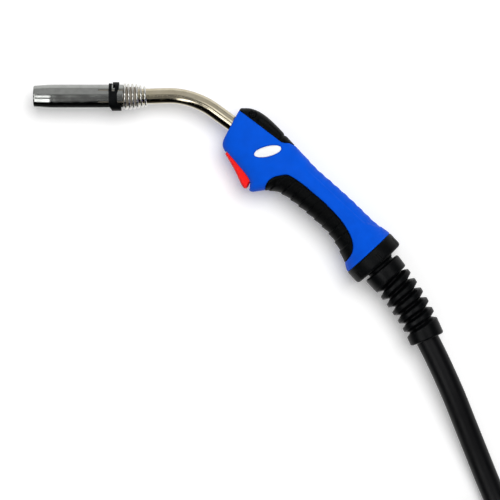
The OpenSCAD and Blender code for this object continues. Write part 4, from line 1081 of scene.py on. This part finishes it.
class TORCH_OT_trigger(Step, bpy.types.Operator):
    """Form the trigger, and finish the switch behind it"""

    bl_idname = "torch.trigger"
    bl_label = "Trigger and switch"

    def execute(self, context):
        red = trigger_plastic(colour_of(context.scene.torch_handle.trigger))
        step = 0.42
        lever = surface(trigger_field, (-155.4, -44.6, -8.2), (-115.6, -22.6, 8.2), step)
        piece("trigger_lever", lever, HANDLE, red, "trigger", "trigger", sharp=50)
        self.spring()
        finishes["phenolic"] = phenolic()
        kept(finishes["steel"], "trigger_pin")
        kept(finishes["phenolic"], "switch_frame")
        kept(switch_casing(), "switch_body")
        kept(switch_button(), "switch_plunger")
        return {"FINISHED"}

    def spring(self):
        """Five turns between the trigger's floor and the switch."""
        u, radius, turns, steps = TRIGGER_U + 27.4, 2, 5, 160
        low, high = -BELLY + 1.2, -BELLY + 7.6
        angles = np.linspace(0, turns * 2 * math.pi, steps + 1)
        path = [(u + radius * math.cos(t), v, radius * math.sin(t))
                for t, v in zip(angles, np.linspace(low, high, steps + 1))]
        coil = wound("trigger_spring_wire", path, HANDLE, 0.3, 10, finishes["steel"])
        finished(coil, finishes["steel"], "torch", "trigger_spring", sharp=60)
        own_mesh(coil)


NECK_R = 7.0                        # radius of the neck's tube


class TORCH_OT_neck(Step, bpy.types.Operator):
    """Bend the plated neck tube"""

    bl_idname = "torch.neck"
    bl_label = "Neck"

    def execute(self, context):
        straight = [(x, 0, 0) for x in np.linspace(35.5, 1.5, 18)]
        bend_r, angles = 66, np.radians(np.linspace(-90, -90 - NECK_ANGLE, 49))
        bend = [(bend_r * math.cos(a), bend_r + bend_r * math.sin(a), 0) for a in angles]
        way = heading(180 - NECK_ANGLE)
        rear = [np.array(bend[-1]) + way * d for d in np.linspace(2, 44, 22)]
        # The tube stands a touch high where the bend begins, as a tube does after bending.
        path = [(x, y - 0.7 * math.exp(-((x - 2) / 18) ** 2), z) for x, y, z in straight + bend + rear]
        piece("neck", tube(path, NECK_R, 72), NOSE, neck_plating(), "torch", "neck_tube", sharp=60)
        brass = finishes["brass"] = turned_brass()
        kept(finishes["phenolic"], "neck_insulation")
        kept(brass, "neck_core", "neck_block", "cable_ferrule")
        kept(finishes["steel"], "wire_liner")
        return {"FINISHED"}


NOZZLE_X, MOUTH_X = 42.8, 123.8     # the nozzle's rear edge and its mouth
TAPER_X = MOUTH_X - 15              # where its taper starts
CLIP_X = NOZZLE_X + 5               # the clip's own zero, near its rear edge
SPRING_X = 21.5, 42.5               # the two ends of the spring behind it
SPRING_R = 11.9                     # outer radius of the spring's widest turn


class TORCH_OT_nozzle(Step, bpy.types.Operator):
    """Turn the gas nozzle, and make its clip, its spring and the wear parts inside"""

    bl_idname = "torch.nozzle"
    bl_label = "Gas nozzle"

    def execute(self, context):
        settings = context.scene.torch_nozzle
        r = settings.diameter / MM / 2
        bore = r - 1.3
        plated = nozzle_plating(colour_of(settings.plating))
        outline = rounded([
            (bore, NOZZLE_X), (r - 0.3, NOZZLE_X, 0.1), (r, NOZZLE_X + 0.4, 0.3), (r, TAPER_X, 1.5),
            (9.85, MOUTH_X - 0.8, 0.7), (9.3, MOUTH_X, 0.4), (8.4, MOUTH_X, 0.3), (bore, TAPER_X, 5),
        ], 0.2, steps=6)
        slot = tool("slot cutter", block((NOZZLE_X - 2, -0.7, 5), (NOZZLE_X + 22.5, 0.7, 14)))
        nozzle = notched("nozzle_turned", lathe(outline, 192), NOSE, slot, settings.slots,
                         math.pi / settings.slots, plated)
        finished(nozzle, plated, "nozzle", "gas_nozzle", sharp=30)
        self.spring(settings.wire / MM)
        self.clip(r)
        kept(copper(), "contact_tip")
        kept(finishes["brass"], "tip_holder")
        kept(ceramic(), "gas_diffuser")
        kept(seat_insulation(), "nozzle_seat")
        return {"FINISHED"}

    def spring(self, wire):
        """Wire that widens from the neck to the nozzle, with its first and last coil closed."""
        rear, front = NECK_R + wire / 2 + 0.14, SPRING_R - wire / 2
        per_turn, turns, pitch = 32, 6, 3.6
        first, last = SPRING_X[0] + wire / 2, SPRING_X[1] - wire / 2
        path = []
        for turn in np.arange(turns * per_turn + 1) / per_turn:
            r, a = between(rear, front, fade(turn, 0, 4)), 2 * math.pi * turn - math.pi / 2
            x = np.clip(first + pitch * (turn - 0.28), first, last)
            path.append((x, r * math.cos(a), r * math.sin(a)))
        steel = spring_wire()
        coil = wound("nozzle_spring_wire", path, NOSE, wire / 2, 20, steel)
        finished(coil, steel, "torch", "nozzle_spring", sharp=60)

    def clip(self, r):
        """An open band, wider on one side, with a window that runs out through its front edge."""
        inner, outer, steps = r + 0.1, r + 2.2, 168
        gap = math.asin(1.5 / outer)
        rings = []
        for t in np.linspace(-math.pi / 2 + gap, 1.5 * math.pi - gap, steps):
            y = outer * math.cos(t)
            back = CLIP_X + 0.5 - 3.6 * fade(y, 6, 12) - 1.6 * fade(-y, 2, 10)
            front = CLIP_X + 8.1 - 2.6 * fade(y, 8, 13.5)
            ring = rounded([(inner, back), (outer, back), (outer, front), (inner, front)], 0.45, steps=3)
            rings.append([(x, q * math.cos(t), q * math.sin(t)) for q, x in ring])
        window = [(2.3, -10.1), (4.5, -10.1), (4.5, -15), (8.7, -15),
                  (8.7, -11.6), (5.3, -11.6), (5.3, -4.3), (2.7, -4.3)]
        prism = skinned([[(CLIP_X + x, y, z) for x, y in window] for z in (-5.9, 30)])
        black = finishes["plastic"]
        band = notched("nozzle_clip_band", skinned(rings), NOSE, tool("window cutter", prism), 1, 0.0, black)
        finished(band, black, "nozzle", "nozzle_clip", sharp=35)


GUARD_X, COLLAR, GUARD_LEN = 14.6, 12.9, 77.0       # the guard's start, its collar and its whole length
GUARD_BEND_R = 216.0                                # radius of its bent centre line
CORE_R, HOLLOW_R = 11.8, 10.85                      # the wall under its coils


def guard_at(s):
    """A point of the guard's centre line and the direction to its outer side, in the swivel's axes."""
    bend = max(0.0, s - COLLAR) / GUARD_BEND_R
    ahead, aside = min(s, COLLAR) + GUARD_BEND_R * math.sin(bend), GUARD_BEND_R * (1 - math.cos(bend))
    return np.array([GUARD_X + ahead, -aside, 0]), np.array([math.sin(bend), math.cos(bend), 0])


def guard_lathe(outline, slant=0.0, upto=0.0):
    """An outline of (r, s) turned round the bent centre line; its front may lean like a coil."""
    verts, faces = lathe(outline)
    out = []
    for s, y, z in verts:
        if s < upto:
            s -= slant * (1 + y / math.hypot(y, z)) / 2
        point, side = guard_at(s)
        out.append(point + (min(0.0, s), 0, 0) + y * side + (0, 0, z))
    return np.array(out), faces


class TORCH_OT_guard(Step, bpy.types.Operator):
    """Make the cable nut and the rubber bend guard with its wound rib"""

    bl_idname = "torch.guard"
    bl_label = "Cable nut and bend guard"

    def execute(self, context):
        settings = context.scene.torch_guard
        black = finishes["plastic"]
        self.nut(settings.notches, black)
        rubber = finishes["guard"] = guard_rubber(colour_of(settings.rubber))
        collar = rounded([(10.9, 0), (17.3, 0, 0.5), (18.5, 1.2, 1.0), (18.0, COLLAR - 0.8, 1.4),
                          (16.6, COLLAR, 0.8), (10.9, COLLAR)], 0.3, steps=5)
        out = np.linspace(COLLAR - 2.9, GUARD_LEN - 2.1, 60)
        back = np.linspace(GUARD_LEN - 2, COLLAR - 2.9, 60)
        core = [(CORE_R, COLLAR - 3)] + [(CORE_R, s) for s in out] + [(HOLLOW_R, s) for s in back]
        end = rounded([(10.86, GUARD_LEN - 9.8), (15.1, GUARD_LEN - 9.6, 0.5), (16.05, GUARD_LEN - 8.4, 0.8),
                       (15.95, GUARD_LEN - 1, 0.9), (14.9, GUARD_LEN, 0.6), (10.86, GUARD_LEN)], 0.3, steps=5)
        end_ring = guard_lathe(end, slant=4.4, upto=GUARD_LEN - 6)
        form = joined(guard_lathe(collar), guard_lathe(core), end_ring, self.coils(settings.pitch / MM))
        piece("bend_guard_wound", form, SWIVEL, rubber, "cable", "bend_guard", sharp=40)
        kept(black, "swivel_ball")
        return {"FINISHED"}

    def nut(self, notches, black):
        """The ring nut with pairs of notches in its rim."""
        outline = rounded([(18.2, 0.1), (25.3, 0.1, 0.3), (25.9, 0.8, 0.3), (25.9, 14, 3.2), (15.3, 14, 0.6),
                           (18.6, 4.6, 2), (18.6, 1, 0.4)], 0.4, steps=6)
        pair = joined(*[block((4.5, y, 24.8), (20, y + 1, 30)) for y in (-1.5, 0.5)])
        nut = notched("cable_nut_turned", lathe(outline, 160), HANDLE, tool("notch cutter", pair), notches,
                      -0.136, black)
        finished(nut, black, "torch", "cable_nut", sharp=35)

    def coils(self, pitch):
        """One rounded rib wound round the guard from under the collar to under the end ring."""
        per_turn, foot, rear_top, front_top = 72, CORE_R - 0.05, 15.65, 18.2
        start, end = COLLAR - 4.6, GUARD_LEN - 4
        # Places as shares of the pitch, heights as shares of the rib's.
        crown = [(-0.47, 0.0), (-0.19, 1.0, 0.07), (0.19, 1.0, 0.07), (0.47, 0.0)]
        profile = [*rounded(crown, 0.07, closed=False), (0.46, -0.12), (-0.46, -0.12)]
        rings = []
        for k in range(int((end - start) / pitch * per_turn) + 1):
            turn = 2 * math.pi * k / per_turn
            ring = []
            for share, high in profile:
                s = start + k / per_turn * pitch + share * pitch
                top = between(front_top, rear_top, s / GUARD_LEN)
                r = between(foot, top, high)
                point, side = guard_at(s)
                ring.append(point + r * (math.cos(turn) * side + (0, 0, math.sin(turn))))
            rings.append(ring)
        return skinned(rings)


class TORCH_OT_connector(Step, bpy.types.Operator):
    bl_idname = "torch.connector"
    bl_label = "Connector"

    def execute(self, context):
        settings = context.scene.torch_connector
        self.boot(settings.ribs, finishes["guard"])
        self.housing(finishes["plastic"])
        self.hand_nut(settings.scallops, finishes["plastic"])
        brass = connector_brass(colour_of(settings.brass))
        body = rounded([(0, 64.2), (10.4, 64.2), (10.4, 84.1, 0.2), (15.5, 84.1, 0.4), (15.5, 87.1, 0.4),
                        (13.5, 87.1, 0.3), (13.5, 110, 0.8), (5.9, 110, 0.2), (5.9, 138, 0.3),
                        (4.7, 140, 0.4), (3.1, 140, 0.3), (3.1, 135.2), (0, 135.2)], 0.3, closed=False)
        form = lathe(body, closed=False)
        piece("plug_body_turned", form, PLUG, brass, "cable", "plug_body", sharp=35)
        kept(finishes["guard"], "gas_seal")
        kept(brass, "gas_pipe", "control_pin_1", "control_pin_2", "liner_nut")
        return {"FINISHED"}

    def boot(self, ribs, rubber):
        """The connector's own bend guard, a cone with rings."""
        cone = rounded([(9.9, 0.2), (11.4, 0.2, 0.4), (11.6, 10), (13.4, 50.4), (9.9, 50.4)], 0.3)
        ring = lathe(rounded([(9.6, -2.1), (13.0, -2.1, 0.4), (13.0, 2.1, 0.4), (9.6, 2.1)], 0.3))
        rib = tool("rib", ring)
        boot = formed("plug_boot", lathe(cone), PLUG, rib_tree, Rib=rib, Count=ribs, First_place=2.3,
                      Pitch=40.0 / ribs, First_width=1.0, Width_growth=0.21 / ribs, Material=rubber)
        finished(boot, rubber, "cable", "plug_guard", sharp=40)

    def housing(self, black):
        """The grip behind the hand nut, with three grooves."""
        outer, groove = 19, 18.1
        grip = [(15.6, 44), (17, 44, 0.6), (outer, 46, 0.9)]
        for x in (52, 59, 66):
            grip += [(outer, x - 1.3, 0.3), (groove, x, 0.8), (outer, x + 1.3, 0.3)]
        grip += [(outer, 75, 0.8), (15.1, 75.2, 0.4), (15.1, 84, 0.3), (10.8, 84), (10.8, 64.5), (15.6, 52)]
        form = lathe(rounded(grip, 0.3), 128)
        piece("plug_grip", form, PLUG, black, "cable", "plug_housing", sharp=35)

    def hand_nut(self, scallops, black):
        """The nut that pulls the connector home, with a hollow for each fingertip."""
        outline = rounded([(15.8, 78), (24, 78, 1), (26, 80, 1.6), (26, 112, 1.6), (24, 114, 1),
                           (17, 114, 0.6), (17, 88, 0.4), (15.8, 88, 0.3)], 0.3, steps=6)
        r, low, high = 3.6, 83, 109
        finger = rounded([(0, low), (r * 0.7, low + 0.6), (r, low + 2.2), (r, high - 2.2),
                          (r * 0.7, high - 0.6), (0, high)], 1.0, closed=False)
        verts, faces = lathe(finger, 32, closed=False)
        hollow = tool("scallop cutter", (verts + (0, 0, 28.2), faces))
        nut = notched("hand_nut_moulded", lathe(outline, 144), PLUG, hollow, scallops,
                      math.pi / scallops, black)
        finished(nut, black, "hand_nut", "hand_nut", sharp=32)


class TORCH_OT_stage(Step, bpy.types.Operator):
    """Lay the floor and set the light"""

    bl_idname = "torch.stage"
    bl_label = "Stage"

    def execute(self, context):
        settings = context.scene.torch_stage
        context.scene.view_settings.view_transform = "Standard"
        corners = [(-4, -4, 0), (4, -4, 0), (4, 4, 0), (-4, 4, 0)]
        floor = shown("floor", mesh_of("floor", corners, [(0, 1, 2, 3)]))
        floor.data.materials.append(self.paper(linear(colour_of(settings.floor))))
        lamp = bpy.data.lights.new("key", "SUN")
        lamp.energy, lamp.angle = settings.key, math.radians(36)
        key = shown("key", lamp)
        key.rotation_euler = Vector((0.18, 0.24, 1.0)).to_track_quat("Z", "Y").to_euler()
        key.visible_glossy = False
        self.world(context, settings.fill)
        return {"FINISHED"}

    def paper(self, white):
        # Uncoated paper: matt white that keeps the torch's shadow, lifted a little where the camera sees it.
        paper = bpy.data.materials.new("uncoated white paper")
        paper.use_nodes = True
        nodes = paper.node_tree
        nodes.nodes.clear()
        ray = add(nodes, "ShaderNodeLightPath").outputs
        lift = add(nodes, "ShaderNodeMath", {0: ray["Is Camera Ray"], 1: 0.12}, operation="MULTIPLY")
        matt = add(nodes, "ShaderNodeBsdfDiffuse", {"Color": white})
        bright = add(nodes, "ShaderNodeEmission", {"Color": white, "Strength": lift})
        plain = add(nodes, "ShaderNodeAddShader", {0: matt, 1: bright})

        # Shiny parts mirror it as a glow, a painted reflection of lit paper, with a painted dark patch under
        # the nozzle and the neck that only mirrors show.
        # The patch lies where three soft masks meet; each has a place where it is clear and one where it is
        # dark.
        spot = add(nodes, "ShaderNodeNewGeometry").outputs["Position"]
        where = add(nodes, "ShaderNodeSeparateXYZ", {0: spot}).outputs
        rise = add(nodes, "ShaderNodeMath", {0: where["X"], 1: 0.727, 2: where["Y"]},
                   operation="MULTIPLY_ADD")
        masks = (where["Y"], 0.062, 0.054), (where["X"], 0.01, -0.02), (rise, 0.024, 0.016)
        dark_patch_in_reflection = 1.0
        for value, clear, dark in masks:
            mask = add(nodes, "ShaderNodeMapRange", {"Value": value, "From Min": clear, "From Max": dark})
            dark_patch_in_reflection = add(nodes, "ShaderNodeMath", {0: dark_patch_in_reflection, 1: mask}, operation="MULTIPLY")
        # Painted reflection: the glow is 0.9 and falls to 0.02 on the painted dark patch.
        glow = add(nodes, "ShaderNodeMapRange", {"Value": dark_patch_in_reflection, "To Min": 0.9, "To Max": 0.02})
        painted_reflection = add(nodes, "ShaderNodeEmission", {"Color": white, "Strength": glow})
        mirrored = add(nodes, "ShaderNodeMath", {0: ray["Is Glossy Ray"], 1: ray["Is Transmission Ray"]},
                       operation="MAXIMUM")
        both = add(nodes, "ShaderNodeMixShader", {0: mirrored, 1: plain, 2: painted_reflection})
        add(nodes, "ShaderNodeOutputMaterial", {"Surface": both})
        return paper

    def world(self, context, fill):
        """White to look at, even light for matt surfaces, and a studio of lamps for shiny ones."""
        world = bpy.data.worlds.new("studio")
        context.scene.world = world
        world.use_nodes = True
        nodes = world.node_tree
        nodes.nodes.clear()
        ray = add(nodes, "ShaderNodeLightPath").outputs
        way = add(nodes, "ShaderNodeTexCoord").outputs["Generated"]
        sides = add(nodes, "ShaderNodeSeparateXYZ", {0: way}).outputs

        def towards(direction, start, end, power):
            """A round lamp that grows from nothing at one cosine to its full power at another."""
            dot = add(nodes, "ShaderNodeVectorMath", {0: way, 1: Vector(direction).normalized()},
                      operation="DOT_PRODUCT").outputs["Value"]
            return add(nodes, "ShaderNodeMapRange", {"Value": dot, "From Min": start, "From Max": end,
                                                     "To Min": 0.0, "To Max": power},
                       interpolation_type="SMOOTHSTEP")

        def band(value, middle, half, soft, power=1.0):
            """Full power in a band of one axis, with soft edges."""
            away = add(nodes, "ShaderNodeMath", {0: value, 1: middle}, operation="SUBTRACT")
            size = add(nodes, "ShaderNodeMath", {0: away}, operation="ABSOLUTE")
            return add(nodes, "ShaderNodeMapRange", {"Value": size, "From Min": half + soft,
                                                     "From Max": half - soft, "To Min": 0.0, "To Max": power})

        # A low lamp beyond the neck, a lamp over the handle, and a faint sheet overhead.
        lamps = [towards((0, 0.9, 0.45), 0.6, 0.9, 0.5), towards((0.36, 0.13, 0.92), 0.93, 0.99, 1.5),
                 towards((0, -0.12, 1), 0.72, 0.86, 0.17)]
        # Strip lamps ahead of the nozzle, for its taper and the rounding of its mouth:
        # x, half width, y, half height, power.
        for x, wide, y, high, power in ((-0.185, 0.05, -0.05, 0.16, 3.4), (-0.185, 0.05, -0.65, 0.19, 3.4),
                                        (-0.48, 0.2, 0.24, 0.12, 3.6), (-0.48, 0.2, -0.33, 0.12, 3.6)):
            across, down = band(sides["X"], x, wide, 0.025), band(sides["Y"], y, high, 0.04, power)
            lamps.append(add(nodes, "ShaderNodeMath", {0: across, 1: down}, operation="MULTIPLY"))
        total = lamps[0]
        for lamp in lamps[1:]:
            total = add(nodes, "ShaderNodeMath", {0: total, 1: lamp}, operation="ADD")
        studio = add(nodes, "ShaderNodeMix", {0: ray["Is Glossy Ray"], 2: fill, 3: total}, data_type="FLOAT")
        clear = add(nodes, "ShaderNodeMath", {0: ray["Is Camera Ray"], 1: ray["Is Transmission Ray"]},
                    operation="MAXIMUM")
        level = add(nodes, "ShaderNodeMix", {0: clear, 2: studio, 3: 1.0}, data_type="FLOAT")
        sky = add(nodes, "ShaderNodeBackground", {"Color": (1, 1, 1, 1), "Strength": level})
        add(nodes, "ShaderNodeOutputWorld", {"Surface": sky})


class TORCH_PT_panel(bpy.types.Panel):
    """The steps of the build and the sizes and colours that each one reads"""

    bl_idname = "TORCH_PT_panel"
    bl_label = "Welding torch"
    bl_space_type = "VIEW_3D"
    bl_region_type = "UI"
    bl_category = "Torch"

    def draw(self, context):
        for step, settings in STEPS:
            box = self.layout.box()
            box.operator(step.bl_idname)
            if settings:
                group = getattr(context.scene, settings)
                for name in group.__annotations__:
                    box.prop(group, name)


SETTINGS = {"torch_cable": CableSettings, "torch_handle": HandleSettings, "torch_nozzle": NozzleSettings,
            "torch_guard": GuardSettings, "torch_connector": ConnectorSettings, "torch_stage": StageSettings}
STEPS = [(TORCH_OT_camera, None), (TORCH_OT_cable, "torch_cable"), (TORCH_OT_shells, "torch_handle"),
         (TORCH_OT_grips, None), (TORCH_OT_cap, None), (TORCH_OT_badge, None), (TORCH_OT_trigger, None),
         (TORCH_OT_neck, None), (TORCH_OT_nozzle, "torch_nozzle"), (TORCH_OT_guard, "torch_guard"),
         (TORCH_OT_connector, "torch_connector"), (TORCH_OT_stage, "torch_stage")]
CLASSES = [*SETTINGS.values(), *[step for step, _ in STEPS], TORCH_PT_panel]


def register():
    for kind in CLASSES:
        bpy.utils.register_class(kind)
    for name, settings in SETTINGS.items():
        setattr(bpy.types.Scene, name, bpy.props.PointerProperty(type=settings))


def unregister():
    for name in SETTINGS:
        delattr(bpy.types.Scene, name)
    for kind in reversed(CLASSES):
        bpy.utils.unregister_class(kind)


def main():
    register()
    for step, _ in STEPS:
        getattr(bpy.ops.torch, step.bl_idname.split(".")[1])()


if __name__ == "__main__":
    main()
